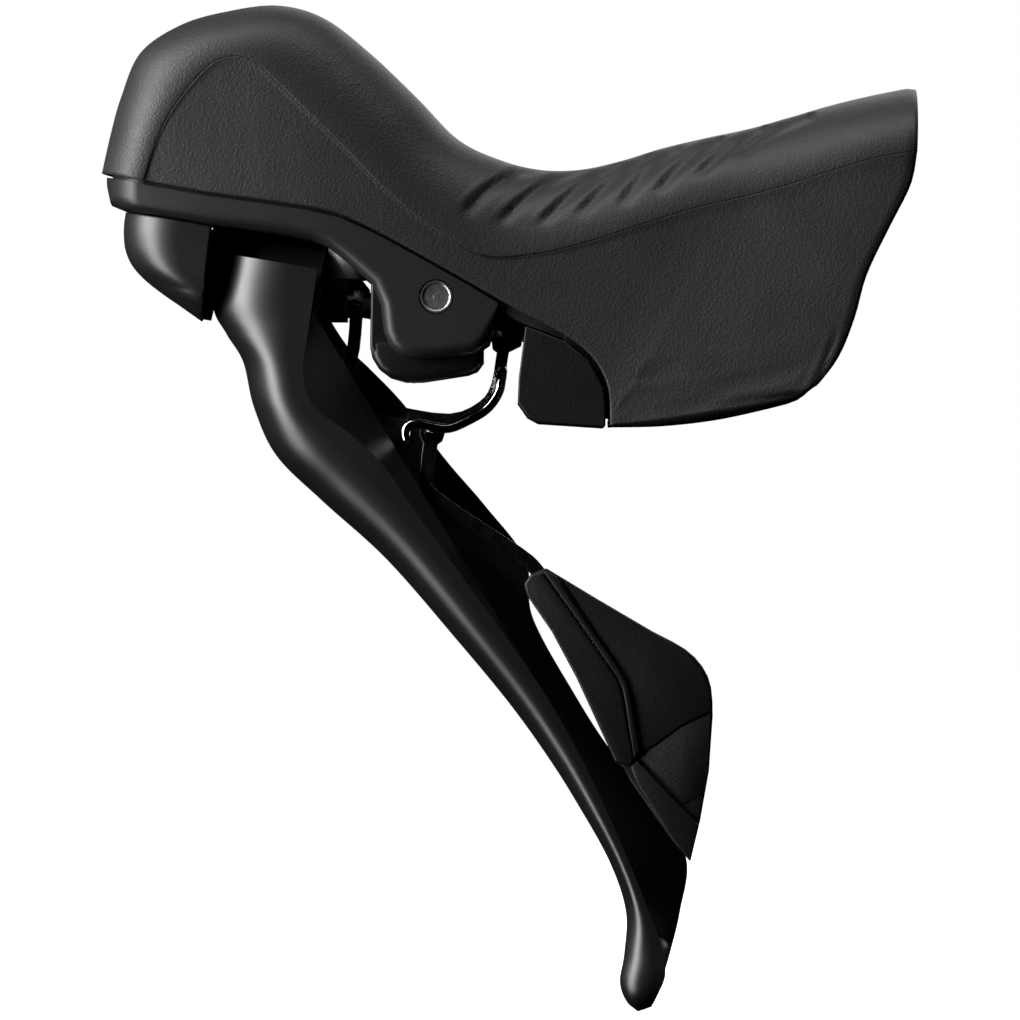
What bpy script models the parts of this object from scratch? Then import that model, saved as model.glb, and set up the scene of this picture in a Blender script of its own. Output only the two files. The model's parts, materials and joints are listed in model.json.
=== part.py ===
"""Hydraulic brake and shift lever for a drop handlebar, right hand.

Frame: +X points back towards the rider, +Y outboard, +Z up. The origin lies
on the handlebar's axis at the clamp. Sizes are millimetres; MM turns them to
metres when a mesh is finished.
"""

from collections import namedtuple
from math import cos, pi, radians, sin

import bmesh
import bpy
from mathutils import Matrix, Vector

MM = 0.001
CLEARANCE = 0.3

# Handlebar seat and clamp
BAR_RADIUS = 12.0
BAR_TILT = radians(21.7)
BAR_REACH = 80.0
SADDLE_SETBACK = 3.0
SADDLE_WALL = 2.4
SADDLE_HALF_LENGTH = 9.0
WAY_OUT_RADIUS = 15.0
BAND_WALL = 0.8
BAND_WIDTH = 10.0
CLAMP_BOLT_RADIUS = 1.25
CLAMP_BOLT_HEAD_RADIUS = 2.1
CLAMP_BOLT_HEAD = 2.2
CLAMP_BOLT_LENGTH = 27.6
CLAMP_BOLT_FRONT = -26.5
CLAMP_BOLT_Y = 11.4
CLAMP_BOLT_COURSE = (23.0, 3.3, 0)
LUG_FRONT = -6.6
LUG_LENGTH = 3.6
LUG_HEIGHT = 6.4
LUG_DEPTH = 4.3
HOOK_DEPTH = 2.2
NUT_LENGTH = 2.4
NUT_RADIUS = 2.0

# Hood: a rubber sleeve over the bracket
HOOD_WALL = 1.8
SEAM_ROUND = 0.8
UNDERSIDE_ROUND = 3.6
CROWN_STEPS = 6
SIDE_STEPS = 5
ROUND_STEPS = 2
OPENING_REACH = 7.0
HOOD_REAR_REACH = 9.0

# Bracket
RIM_SETBACK = 0.5
CHEEK_WALL = 3.8
LOBE_HALF_WIDTH = 14.6
BOSS_RADIUS = 3.6
BOSS_X = -85.2
BOSS_BOTTOM = -13.6

# Main pivot
PIVOT_X = -68.9
PIVOT_Z = -16.9
PIN_RADIUS = 2.5
PIN_HEAD_RADIUS = 3.05
PIN_HEAD = 1.6
PIN_FACE_Y = -15.0
PIN_NECK_RADIUS = 1.9
PIN_CLIP_Y = 13.0
PIN_END_Y = 14.8
BUSH_WALL = 1.0
BUSH_LENGTH = 5.0
CLIP_RADIUS = 4.0
CLIP_THICKNESS = 0.8

# Shift axis, which runs forward and slightly up from its datum
AXIS_X = -82.8
AXIS_Z = -18.0
AXIS_RISE = radians(9.9)
AXLE_RADIUS = 2.4
AXLE_REAR = -6.6
HUB_RADIUS = 8.6
HUB_WALL = 1.6
HUB_FRONT = 23.2
HUB_LENGTH = 15.2
EYE_RADIUS = 3.7
EYE_THICKNESS = 1.8
CASE_HALF_WIDTH = 6.0
PLATE_THICKNESS = 1.5
PLATE_REAR = 28.5
PLATE_RADIUS = 8.2
STUB_RADIUS = 1.7
STUB_NECK = 1.2
STUB_FRONT = -19.6
STUB_CLIP = -29.3
STUB_REAR = -30.9
NUT_THICKNESS = 2.6
AXLE_NUT_WALL = 1.0
CASE_GAP = 0.9
CASE_REAR = -85.3
CASE_BOTTOM = -21.2
DRUM_LENGTH = 4.0
DRUM_RADIUS = 6.2
WHEEL_LENGTH = 2.0
WHEEL_TEETH = 24
WHEEL_TOOTH = 0.7

# Hydraulics
CYLINDER_RISE = radians(15.0)
CAM_HEIGHT = 11.8
LINER_BORE = 4.0
LINER_WALL = 0.7
LINER_START = 13.0
LINER_LENGTH = 27.0
PISTON_RADIUS = 3.6
PISTON_LENGTH = 9.0
PISTON_START = 15.0
SEAL_SECTION = 1.0
ROD_RADIUS = 1.5
ROLLER_RADIUS = 2.6
ROLLER_LENGTH = 3.4
ARM_HALF_WIDTH = 4.2
LID_THICKNESS = 1.8
LID_TOP = 29.6
LID_FRONT = -112.0
LID_REAR = -94.0
LID_HALF_WIDTH = 7.2
LID_SCREW_RADIUS = 0.9
LID_SCREW_LENGTH = 6.0
LID_SCREW_INSET = 2.3
LID_HEAD_RADIUS = 1.5
LID_HEAD = 0.9
TANK_INSET = 4.4
RESERVOIR_HALF_WIDTH = 5.4
RESERVOIR_FLOOR = 18.0
BLEED_RADIUS = 1.2
BLEED_LENGTH = 6.0
BLEED_HEAD_RADIUS = 1.7
BLEED_HEAD = 0.9
BLEED_SETBACK = 3.4
SOCKET_DEPTH = 2.0
ROLLER_PIN_RADIUS = 0.9

# Blade, shift paddle and cap
BLADE_WALL = 1.8
BLADE_TOP_HALF_WIDTH = 10.8
BLADE_TIP_HALF_WIDTH = 4.6
BLADE_ROUND = 6.0
BLADE_STEPS = 6
BLADE_SCREW_RADIUS = 0.9
BLADE_SCREW_HEAD_RADIUS = 1.6
BLADE_SCREW_HEAD = 0.9
BLADE_SCREW_LENGTH = 3.0
TANG_WALL = 1.4
TANG_OUTER = 7.8
RIVET_END = 9.0
RIVET_RADIUS = 0.9
STRAP_THICKNESS = 2.2
STRAP_HALF_WIDTH = 4.0
LUG_RADIUS = 2.3
ARM_INNER = -4.6
ARM_THICKNESS = 2.6
ARM_WIDTH = 2.6
ROD_WIRE_RADIUS = 0.9
ROD_Y = -9.5
PADDLE_INNER = -7.6
PADDLE_THICKNESS = 3.0
CAP_WALL = 1.5
CAP_HALF_WIDTH = 11.0
CAP_NOSE = 117.0
CAP_NOSE_DEPTH = 9.4
CAP_SCREW_RADIUS = 0.9
CAP_SCREW_LENGTH = 4.0
CAP_SCREW_HEAD_RADIUS = 1.5
CAP_SCREW_HEAD = 0.9
CAP_SCREW_GAP = 1.8
COVER_WALL = 1.2
COVER_HALF_WIDTH = 16.6

# Hose fitting, cable guide, cover screw and reach screw
HOSE_RADIUS = 3.2
HOSE_FRONT = -40.0
HOSE_LENGTH = 17.0
HOSE_Y = -9.6
HOSE_Z = -2.0
CABLE_RADIUS = 2.3
CABLE_FRONT = -38.0
CABLE_LENGTH = 14.0
CABLE_Y = 8.6
CABLE_Z = -13.0
COVER_SCREW_X = -44.5
COVER_SCREW_RADIUS = 1.2
COVER_SCREW_LENGTH = 17.5
GRUB_RADIUS = 1.6
GRUB_LENGTH = 6.2
HOSE_BORE = 2.0
COVER_SCREW_Z = -40.1
COVER_SCREW_HEAD_RADIUS = 2.4
COVER_SCREW_HEAD = 1.4

ROUND_SIDES = 18
FINE_SIDES = 10

HoodRow = namedtuple("HoodRow", "crown crease seam half_width way bow")
BladeRow = namedtuple("BladeRow", "front near far taper")

# Rows run from the nose to the rear. way is the direction in which the seam
# opens towards the bracket, or None along the closed underside.
HOOD_ROWS = (
    HoodRow((-130.5, 6.1), (-122.4, 4.2), (-121.6, 3.9), 12.0, (0, -1), 0),
    HoodRow((-128.9, 13.2), (-119.8, 11.8), (-118.0, 3.2), 12.6, (0, -1), 0),
    HoodRow((-127.0, 20.0), (-117.4, 16.8), (-114.2, 2.5), 13.1, (0, -1), 0),
    HoodRow((-123.4, 28.3), (-113.4, 22.2), (-110.4, 1.8), 13.6, (0, -1), 0),
    HoodRow((-116.0, 33.4), (-109.6, 25.8), (-106.9, 1.3), 14.0, (0, -1), 0),
    HoodRow((-107.5, 35.9), (-105.6, 27.0), (-103.4, 0.8), 14.4, (0, -1), 0),
    HoodRow((-98.0, 37.0), (-101.6, 25.6), (-99.7, 0.3), 14.8, (0, -1), 0),
    HoodRow((-89.5, 34.6), (-97.3, 21.6), (-95.7, -0.3), 15.1, (0, -1), 0),
    HoodRow((-81.0, 28.1), (-92.2, 16.6), (-91.4, -1.0), 15.4, (0, -1), 0),
    HoodRow((-72.5, 20.0), (-85.8, 10.3), (-86.4, -2.2), 15.6, (-0.2, -1), 0),
    HoodRow((-65.0, 12.4), (-78.6, 2.9), (-80.4, -4.9), 15.7, (-0.4, -0.9), 0),
    HoodRow((-57.5, 8.7), (-70.6, -3.8), (-72.4, -9.2), 15.7, (-0.4, -0.9), 0),
    HoodRow((-50.0, 6.8), (-60.6, -9.4), (-63.0, -14.5), 15.7, (-0.4, -0.9), 0),
    HoodRow((-42.5, 6.8), (-51.0, -9.2), (-54.0, -19.6), 15.8, (-0.4, -0.9), 0),
    HoodRow((-35.0, 8.4), (-41.0, -6.9), (-45.8, -24.0), 16.0, (-0.5, -0.85), 0),
    HoodRow((-27.5, 10.7), (-31.4, -3.8), (-40.6, -28.2), 16.4, (-0.8, -0.6), 0),
    HoodRow((-19.5, 12.6), (-22.0, -0.9), (-37.8, -33.6), 16.9, (-1, -0.1), 0),
    HoodRow((-11.5, 14.3), (-13.0, 1.2), (-37.4, -40.7), 17.8, None, 0),
    HoodRow((-4.0, 16.4), (-4.6, 3.4), (-27.5, -40.5), 18.6, None, 0.25),
    HoodRow((3.5, 18.6), (3.5, 6.0), (-17.5, -39.4), 19.4, None, 0.5),
    HoodRow((11.0, 20.4), (11.0, 8.2), (-8.5, -37.5), 20.1, None, 0.75),
    HoodRow((19.0, 22.0), (18.6, 9.5), (-1.8, -35.7), 20.6, None, 1),
)
REAR_EDGE = ((18.6, 9.5), (17.4, 3.4), (13.4, -4.6), (9.4, -13.0),
             (7.2, -20.8), (4.0, -28.4), (-1.8, -35.7))

# Lower edge of the bracket from the nose to the rear of the pivot lobe
RIM_LOWER = ((-129.6, 4.2), (-128.6, 0.1), (-126.2, -0.8), (-119.0, -2.0),
             (-109.7, -3.7), (-98.0, -5.2), (-92.0, -6.3), (-88.9, -7.5),
             (-85.6, -10.1), (-80.6, -14.5), (-79.0, -18.4), (-78.4, -23.4),
             (-77.2, -26.0), (-74.8, -27.9), (-71.4, -28.4), (-62.0, -27.4),
             (-59.1, -25.4), (-57.9, -20.8))
CHANNEL = ((-82.4, -60.0), (-82.4, -8.6), (-79.4, -1.2), (-61.4, -1.2),
           (-58.6, -9.4), (-50.2, -12.6), (-50.2, -60.0))
CARRIER = ((-80.8, -13.4), (-81.0, -25.6), (-80.2, -28.6), (-77.4, -31.4),
           (-73.2, -32.4), (-68.1, -31.6), (-61.6, -30.5), (-60.2, -28.8),
           (-60.2, -15.4), (-63.6, -11.4), (-65.2, -5.0), (-66.8, -3.0),
           (-71.0, -3.0), (-72.6, -5.0), (-74.2, -11.0))

# Blade rows from the knuckle to the tip: front, near edge and far edge
BLADE_ROWS = (
    BladeRow((-108.6, -8.6), (-90.6, -11.8), (-90.4, -11.8), 0.0),
    BladeRow((-110.0, -18.2), (-91.6, -18.5), (-89.6, -18.5), 0.0),
    BladeRow((-107.6, -23.4), (-92.5, -24.6), (-85.4, -25.6), 0.0),
    BladeRow((-104.5, -28.6), (-93.2, -30.6), (-81.4, -29.6), 0.04),
    BladeRow((-102.5, -37.0), (-91.4, -36.7), (-75.1, -36.2), 0.08),
    BladeRow((-98.4, -45.8), (-84.5, -42.0), (-67.2, -46.6), 0.13),
    BladeRow((-90.0, -54.1), (-78.3, -48.0), (-60.0, -55.0), 0.2),
    BladeRow((-78.0, -65.0), (-70.8, -58.8), (-52.5, -65.0), 0.3),
    BladeRow((-65.2, -79.7), (-60.3, -73.3), (-51.2, -75.6), 0.42),
    BladeRow((-55.6, -91.3), (-50.9, -86.6), (-43.4, -89.9), 0.54),
    BladeRow((-48.6, -101.0), (-44.4, -97.4), (-36.6, -100.4), 0.63),
    BladeRow((-43.1, -109.7), (-39.4, -107.3), (-28.6, -110.0), 0.7),
    BladeRow((-37.1, -120.5), (-33.6, -120.2), (-22.9, -120.0), 0.78),
    BladeRow((-34.1, -129.6), (-30.0, -129.3), (-24.0, -129.6), 0.86),
    BladeRow((-34.4, -137.4), (-27.6, -135.8), (-25.6, -136.4), 0.93),
)
TIP_ROWS = (
    BladeRow((-35.2, -142.6), (-26.9, -141.0), (-27.0, -141.2), 1.0),
    BladeRow((-34.0, -146.2), (-28.3, -144.9), (-28.4, -145.0), 1.2),
    BladeRow((-31.9, -148.1), (-29.4, -147.2), (-29.5, -147.3), 1.6),
)
TANG = ((-97.4, -20.6), (-91.9, -21.4), (-88.6, -25.6), (-82.2, -33.8), (-73.4, -42.6),
        (-74.6, -46.2), (-79.0, -45.6), (-89.8, -36.0))
TANG_RIVETS = ((-84.6, -35.0), (-76.3, -44.4))

# Shift paddle, its arm and its yoke
YOKE_PATH = ((-83.5, -18.0), (-84.2, -26.0), (-85.4, -31.6), (-83.8, -35.2),
             (-76.9, -37.6), (-66.5, -39.2), (-60.4, -36.8), (-57.8, -33.0),
             (-56.6, -26.1), (-55.4, -22.6))
ARM_PATH = ((-69.6, -41.0), (-70.5, -48.8), (-69.6, -53.2), (-54.2, -63.6),
            (-50.4, -67.0), (-46.4, -72.6), (-40.2, -80.8))
ROD_PATH = ((-74.5, -43.0), (-74.6, -40.9), (-73.2, -39.8), (-70.0, -40.5),
            (-66.6, -41.1), (-62.6, -39.2), (-59.5, -37.4), (-57.4, -34.4),
            (-57.0, -32.0))
PADDLE = ((-52.2, -71.6), (-52.9, -69.4), (-51.6, -67.6), (-48.8, -66.4),
          (-39.7, -71.9), (-29.3, -78.0), (-23.4, -81.2), (-20.2, -84.4),
          (-18.6, -88.2), (-18.3, -93.5), (-19.0, -103.6), (-20.6, -112.6),
          (-22.4, -120.2), (-25.8, -116.2), (-32.2, -105.8), (-33.6, -102.6),
          (-36.1, -102.0), (-43.2, -86.6), (-47.8, -78.0))
ARM_RIVET = (-69.7, -41.8)
GRIP_RIVETS = ((-46.4, -72.6), (-41.0, -79.8))

# Cap at the front of the carrier and cover under the bracket
CAP_SIDE = ((-110.3, -4.3), (-119.0, -2.6), (-125.9, -1.4), (-126.4, -5.0), (-125.1, -10.5),
            (-122.6, -13.6), (-118.7, -16.7), (-111.6, -21.2), (-111.9, -16.0))
COVER_SIDE = ((-52.6, -22.3), (-53.8, -31.6), (-54.0, -36.2), (-52.2, -38.8),
              (-50.2, -39.9), (-38.0, -40.7), (-38.0, -36.8), (-38.4, -33.6),
              (-41.2, -28.4), (-45.6, -25.0))
COVER_SPACE = ((-56.0, -21.4), (-53.0, -21.8), (-45.6, -24.5), (-41.0, -28.0),
               (-38.0, -33.4), (-37.0, -36.8), (-37.0, -60.0), (-56.0, -60.0))
CAP_HOLLOW = ((-100.0, -6.0), (-110.3, -6.0), (-124.2, -3.4), (-124.6, -6.4), (-123.5, -9.6),
              (-121.4, -12.4), (-117.8, -15.2), (-110.5, -19.8), (-100.0, -22.0))


# ---------------------------------------------------------------- helpers

def lerp(start, end, share):
    """Return the point a share of the way from start to end."""
    return tuple(a + (b - a) * share for a, b in zip(start, end))


def moved(point, way, distance):
    """Return a 2-D point moved a distance along a direction."""
    step = Vector(way).normalized() * distance
    return (point[0] + step[0], point[1] + step[1])


def spline(points, steps):
    """Return points on a Catmull-Rom curve, steps to each span."""
    rows = [Vector(point) for point in points]
    rows = [rows[0] * 2 - rows[1]] + rows + [rows[-1] * 2 - rows[-2]]
    curve = []
    for a, b, c, d in zip(rows, rows[1:], rows[2:], rows[3:]):
        for step in range(steps):
            t = step / steps
            curve.append(tuple(b + (c - a) * (t / 2)
                               + (a * 2 - b * 5 + c * 4 - d) * (t * t / 2)
                               + (b * 3 - a - c * 3 + d) * (t ** 3 / 2)))
    curve.append(tuple(rows[-2]))
    return curve


def along(points, share):
    """Return the point a share of the way through a list of points."""
    place = share * (len(points) - 1)
    index = min(int(place), len(points) - 2)
    return lerp(points[index], points[index + 1], place - index)


def tidy(bm):
    """Merge doubles and turn every face outwards."""
    bmesh.ops.remove_doubles(bm, verts=bm.verts, dist=0.0005)
    bmesh.ops.recalc_face_normals(bm, faces=bm.faces)
    return bm


def loft(sections, paired=False):
    """Return a closed solid through sections that have equal point counts.

    Paired sections run out and back, so strips across them close the ends.
    """
    bm = bmesh.new()
    rings = [[bm.verts.new(point) for point in section] for section in sections]
    for ring, following in zip(rings, rings[1:]):
        for index in range(len(ring)):
            after = (index + 1) % len(ring)
            bm.faces.new((ring[index], ring[after], following[after], following[index]))
    for ring in (rings[0], rings[-1]):
        last = len(ring) - 1
        if not paired:
            bm.faces.new(ring)
            continue
        for index in range(last // 2):
            corners = (ring[index], ring[index + 1], ring[last - index - 1], ring[last - index])
            bm.faces.new(list(dict.fromkeys(corners)))
    return tidy(bm)


def prism(outline, y_low, y_high):
    """Return a side-view outline, in x and z, extruded from y_low to y_high."""
    return loft([[(x, y, z) for x, z in outline] for y in (y_low, y_high)])


def box(low, high):
    """Return a box between two corners."""
    bm = bmesh.new()
    bmesh.ops.create_cube(bm, size=1)
    size = Vector(high) - Vector(low)
    middle = (Vector(high) + Vector(low)) / 2
    bmesh.ops.transform(bm, verts=bm.verts, matrix=Matrix.Translation(middle) @ Matrix.Diagonal((*size, 1)))
    return bm


def turned(profile, place, sides=ROUND_SIDES):
    """Return a profile of (along, radius) pairs spun about a placed axis."""
    bm = bmesh.new()
    verts = [bm.verts.new((radius, 0, height)) for height, radius in profile]
    edges = [bm.edges.new(pair) for pair in zip(verts, verts[1:] + verts[:1])]
    bmesh.ops.spin(bm, geom=verts + edges, cent=(0, 0, 0), axis=(0, 0, 1),
                   angle=2 * pi, steps=sides, use_merge=True)
    bmesh.ops.remove_doubles(bm, verts=bm.verts, dist=0.0005)
    lone = [edge for edge in bm.edges if not edge.link_faces]
    bmesh.ops.delete(bm, geom=lone, context="EDGES")
    bmesh.ops.transform(bm, verts=bm.verts, matrix=place)
    return tidy(bm)


def rod(radius, start, end, place, sides=ROUND_SIDES):
    """Return a plain cylinder along a placed axis."""
    return turned([(start, 0), (start, radius), (end, radius), (end, 0)], place, sides)


def ring(inner, outer, start, end, place, sides=ROUND_SIDES):
    """Return a plain ring along a placed axis."""
    profile = [(start, inner), (start, outer), (end, outer), (end, inner)]
    return turned(profile, place, sides)


def axis_place(point, direction):
    """Return the matrix that lays the local Z axis through a point."""
    turn = Vector((0, 0, 1)).rotation_difference(Vector(direction)).to_matrix().to_4x4()
    return Matrix.Translation(point) @ turn


def ribbon(path, thickness, y_low, y_high, steps=3):
    """Return a strap of constant thickness that follows a side-view path."""
    curve = [Vector(point) for point in spline(path, steps)]
    left, right = [], []
    for index, point in enumerate(curve):
        before = curve[max(index - 1, 0)]
        after = curve[min(index + 1, len(curve) - 1)]
        course = (after - before).normalized()
        normal = Vector((-course[1], course[0])) * (thickness / 2)
        left.append(tuple(point + normal))
        right.append(tuple(point - normal))
    return prism(left + right[::-1], y_low, y_high)


def wire(points, radius, sides=6):
    """Return a round wire through 3-D points."""
    points = [Vector(point) for point in points]
    sections = []
    normal = None
    for index, point in enumerate(points):
        before = points[max(index - 1, 0)]
        after = points[min(index + 1, len(points) - 1)]
        course = (after - before).normalized()
        if normal is None:
            normal = course.orthogonal().normalized()
        normal = (normal - course * normal.dot(course)).normalized()
        across = course.cross(normal)
        sections.append([point + (normal * cos(2 * pi * k / sides) + across * sin(2 * pi * k / sides)) * radius
                         for k in range(sides)])
    return loft(sections)


def coil(radius, start, end, turns, gauge, place, steps=9):
    """Return a coil spring about a placed axis."""
    count = int(turns * steps)
    points = []
    for index in range(count + 1):
        angle = 2 * pi * index / steps
        height = start + gauge + (end - start - 2 * gauge) * index / count
        points.append(place @ Vector((radius * cos(angle), radius * sin(angle), height)))
    return wire(points, gauge, 4)


def scratch_object(name, bm):
    """Return a temporary object that holds a bmesh."""
    mesh = bpy.data.meshes.new(name)
    bm.to_mesh(mesh)
    bm.free()
    holder = bpy.data.objects.new(name, mesh)
    bpy.context.scene.collection.objects.link(holder)
    return holder


def combined(base, tool, operation):
    """Return base with tool joined to it, cut from it or kept inside it."""
    holder = scratch_object("base", base)
    cutter = scratch_object("cutter", tool)
    step = holder.modifiers.new("combine", "BOOLEAN")
    step.operation = operation
    step.solver = "EXACT"
    step.object = cutter
    result = bmesh.new()
    result.from_object(holder, bpy.context.evaluated_depsgraph_get())
    for scratch in (holder, cutter):
        mesh = scratch.data
        bpy.data.objects.remove(scratch)
        bpy.data.meshes.remove(mesh)
    bmesh.ops.remove_doubles(result, verts=result.verts, dist=0.0005)
    lone = [edge for edge in result.edges if not edge.link_faces]
    bmesh.ops.delete(result, geom=lone, context="EDGES")
    return result


def cut(base, *tools):
    """Return base with each tool cut away."""
    for tool in tools:
        base = combined(base, tool, "DIFFERENCE")
    return base


def joined(base, *tools):
    """Return base with each tool joined to it."""
    for tool in tools:
        base = combined(base, tool, "UNION")
    return base


def material(name, colour, roughness, metallic=0.0):
    """Return a Principled material."""
    made = bpy.data.materials.new(name)
    made.use_nodes = True
    shader = made.node_tree.nodes["Principled BSDF"]
    shader.inputs["Base Color"].default_value = (*colour, 1)
    shader.inputs["Roughness"].default_value = roughness
    shader.inputs["Metallic"].default_value = metallic
    return made


def piece(name, bm, finish, pivot=(0, 0, 0)):
    """Add a finished sub-part whose origin lies at pivot."""
    origin = Vector(pivot)
    bmesh.ops.triangulate(bm, faces=[face for face in bm.faces if len(face.verts) > 4])
    for vert in bm.verts:
        vert.co = (vert.co - origin) * MM
    mesh = bpy.data.meshes.new(name)
    bm.to_mesh(mesh)
    bm.free()
    mesh.materials.append(finish)
    mesh.shade_smooth()
    mesh.set_sharp_from_angle(angle=radians(35))
    made = bpy.data.objects.new(name, mesh)
    made.location = origin * MM
    bpy.context.scene.collection.objects.link(made)
    return made


# ---------------------------------------------------------------- axes

FORWARD = Vector((-cos(AXIS_RISE), 0, sin(AXIS_RISE)))
AXIS_POINT = Vector((AXIS_X, 0, AXIS_Z))
SHIFT = axis_place(AXIS_POINT, FORWARD)
PIVOT = Vector((PIVOT_X, 0, PIVOT_Z))
PIN = axis_place(PIVOT, (0, 1, 0))
CAM = Vector((PIVOT_X, 0, PIVOT_Z + CAM_HEIGHT))
PUSH = Vector((-cos(CYLINDER_RISE), 0, sin(CYLINDER_RISE)))
CYLINDER = axis_place(CAM, PUSH)
BAR = axis_place((0, 0, 0), (sin(BAR_TILT), 0, cos(BAR_TILT)))
CHANNEL_HALF_WIDTH = LOBE_HALF_WIDTH - CHEEK_WALL
CARRIER_HALF_WIDTH = CHANNEL_HALF_WIDTH - CLEARANCE
BUSH_RADIUS = PIN_RADIUS + CLEARANCE + BUSH_WALL
BAND_OUTER = BAR_RADIUS + CLEARANCE + BAND_WALL
HUB_REAR = HUB_FRONT - HUB_LENGTH


def on_axis(distance):
    """Return the point a distance forward along the shift axis."""
    return AXIS_POINT + FORWARD * distance


# ---------------------------------------------------------------- hood

def hood_line(row, inset, reach):
    """Return half a hood section from the crown round to the seam."""
    crown = moved(row.crown, Vector(row.crease) - Vector(row.crown), inset)
    half = row.half_width - inset
    down = Vector(row.seam) - Vector(row.crease)
    if row.way:
        end, corner = moved(row.seam, row.way, reach), SEAM_ROUND
    else:
        end, corner = moved(row.seam, -down, inset), UNDERSIDE_ROUND
    line = []
    for step in range(CROWN_STEPS + 1):
        angle = pi / 2 * step / CROWN_STEPS
        line.append((*lerp(crown, row.crease, 1 - cos(angle)), half * sin(angle)))
    run = (Vector(end) - Vector(row.crease)).length
    corner = min(corner, run * 0.6)
    for step in range(1, SIDE_STEPS + ROUND_STEPS + 1):
        turn = pi / 2 * max(step - SIDE_STEPS, 0) / ROUND_STEPS
        share = (1 - corner / run) * min(step / SIDE_STEPS, 1) + corner / run * sin(turn)
        x, z = lerp(row.crease, end, share)
        bulge = Vector(along(REAR_EDGE, share)) - Vector(lerp(REAR_EDGE[0], REAR_EDGE[-1], share))
        x, z = x + bulge[0] * row.bow, z + bulge[1] * row.bow
        line.append((x, z, half - corner * (1 - cos(turn))))
    return line


def hood_section(row, inset, reach, shift=(0, 0)):
    """Return a whole hood section, near side to far side."""
    line = [(x + shift[0], y, z + shift[1]) for x, z, y in hood_line(row, inset, reach)]
    near = [(x, -y, z) for x, y, z in line[:0:-1]]
    return near + line


def hood_solid(inset, reach, drop, rear):
    """Return the hood's solid form, inset and run on at both ends."""
    sections = [hood_section(row, inset, reach) for row in HOOD_ROWS]
    if drop:
        sections.insert(0, hood_section(HOOD_ROWS[0], inset, reach, (-0.4, -drop)))
    if rear:
        sections.append(hood_section(HOOD_ROWS[-1], inset, reach, (rear, 0)))
    return loft(sections, paired=True)


def bar_space(radius):
    """Return the space of the handlebar through the clamp."""
    return rod(radius, -BAR_REACH, BAR_REACH, BAR, 40)


def make_hood(rubber):
    """Hood: sleeve open along its seam, at its rear and where the bar leaves."""
    outer = hood_solid(0, 0, 0, 0)
    hollow = hood_solid(HOOD_WALL, OPENING_REACH, OPENING_REACH, HOOD_REAR_REACH)
    way_out = rod(WAY_OUT_RADIUS, -BAR_REACH, -BAR_RADIUS, BAR, 40)
    piece("hood", cut(outer, hollow, way_out), rubber)


# ---------------------------------------------------------------- bracket

def plan_outline():
    """Return the bracket rim's outline from above, nose first."""
    nose = HOOD_ROWS[0]
    half = nose.half_width - RIM_SETBACK
    right = []
    for step in range(8):
        angle = pi / 2 * step / 7
        x = nose.crown[0] + 0.9 + (nose.crease[0] - nose.crown[0]) * (1 - cos(angle))
        right.append((x, half * sin(angle)))
    right += [(row.seam[0], row.half_width - RIM_SETBACK) for row in HOOD_ROWS[2:13]]
    right.append((RIM_LOWER[-1][0] + 4, HOOD_ROWS[12].half_width - RIM_SETBACK))
    return right + [(x, -y) for x, y in right[:0:-1]]


def make_rim():
    """Return the visible band and pivot lobe under the hood's seam."""
    seam = [(row.seam[0], row.seam[1] - CLEARANCE) for row in HOOD_ROWS[1:13]]
    top = [(HOOD_ROWS[0].crown[0] - 1, HOOD_ROWS[0].crown[1] - CLEARANCE - 0.1)]
    top += [(-121.6, HOOD_ROWS[0].seam[1] - CLEARANCE)] + seam
    top.append((RIM_LOWER[-1][0] + 0.3, HOOD_ROWS[12].seam[1] - 3.6))
    side = prism(top + list(RIM_LOWER[::-1]), -LOBE_HALF_WIDTH - 6, LOBE_HALF_WIDTH + 6)
    plan = loft([[(x, y, z) for x, y in plan_outline()] for z in (-40, 20)])
    return combined(side, plan, "INTERSECT")


def bracket_cuts():
    """Return what is cut from the bracket for the pin, cylinder and lid."""
    cylinder = rod(LINER_BORE + LINER_WALL + CLEARANCE, -1,
                   LINER_START + LINER_LENGTH + CLEARANCE, CYLINDER)
    seat = PIN_FACE_Y + PIN_HEAD + CLEARANCE / 2
    pin = turned([(-30, 0), (-30, PIN_HEAD_RADIUS + CLEARANCE / 2), (seat, PIN_HEAD_RADIUS + CLEARANCE / 2),
                  (seat, PIN_RADIUS + CLEARANCE), (30, PIN_RADIUS + CLEARANCE), (30, 0)], PIN)
    clip = rod(CLIP_RADIUS + CLEARANCE, PIN_CLIP_Y - CLEARANCE, 30, PIN)
    floor = LID_TOP - LID_THICKNESS - CLEARANCE
    lid = box((LID_FRONT - 30, -20, floor), (LID_REAR + 20, 20, 60))
    tank = box((tank_front(), -RESERVOIR_HALF_WIDTH, RESERVOIR_FLOOR), (tank_rear(), RESERVOIR_HALF_WIDTH, 40))
    bleed = rod(BLEED_RADIUS + CLEARANCE, 0, BLEED_LENGTH + CLEARANCE, bleed_place(), FINE_SIDES)
    cover = rod(COVER_SCREW_RADIUS + CLEARANCE, 0, COVER_SCREW_LENGTH + CLEARANCE,
                axis_place((COVER_SCREW_X, 0, COVER_SCREW_Z), (0, 0, 1)), FINE_SIDES)
    return [cylinder, pin, clip, lid, tank, bleed, cover]


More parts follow.
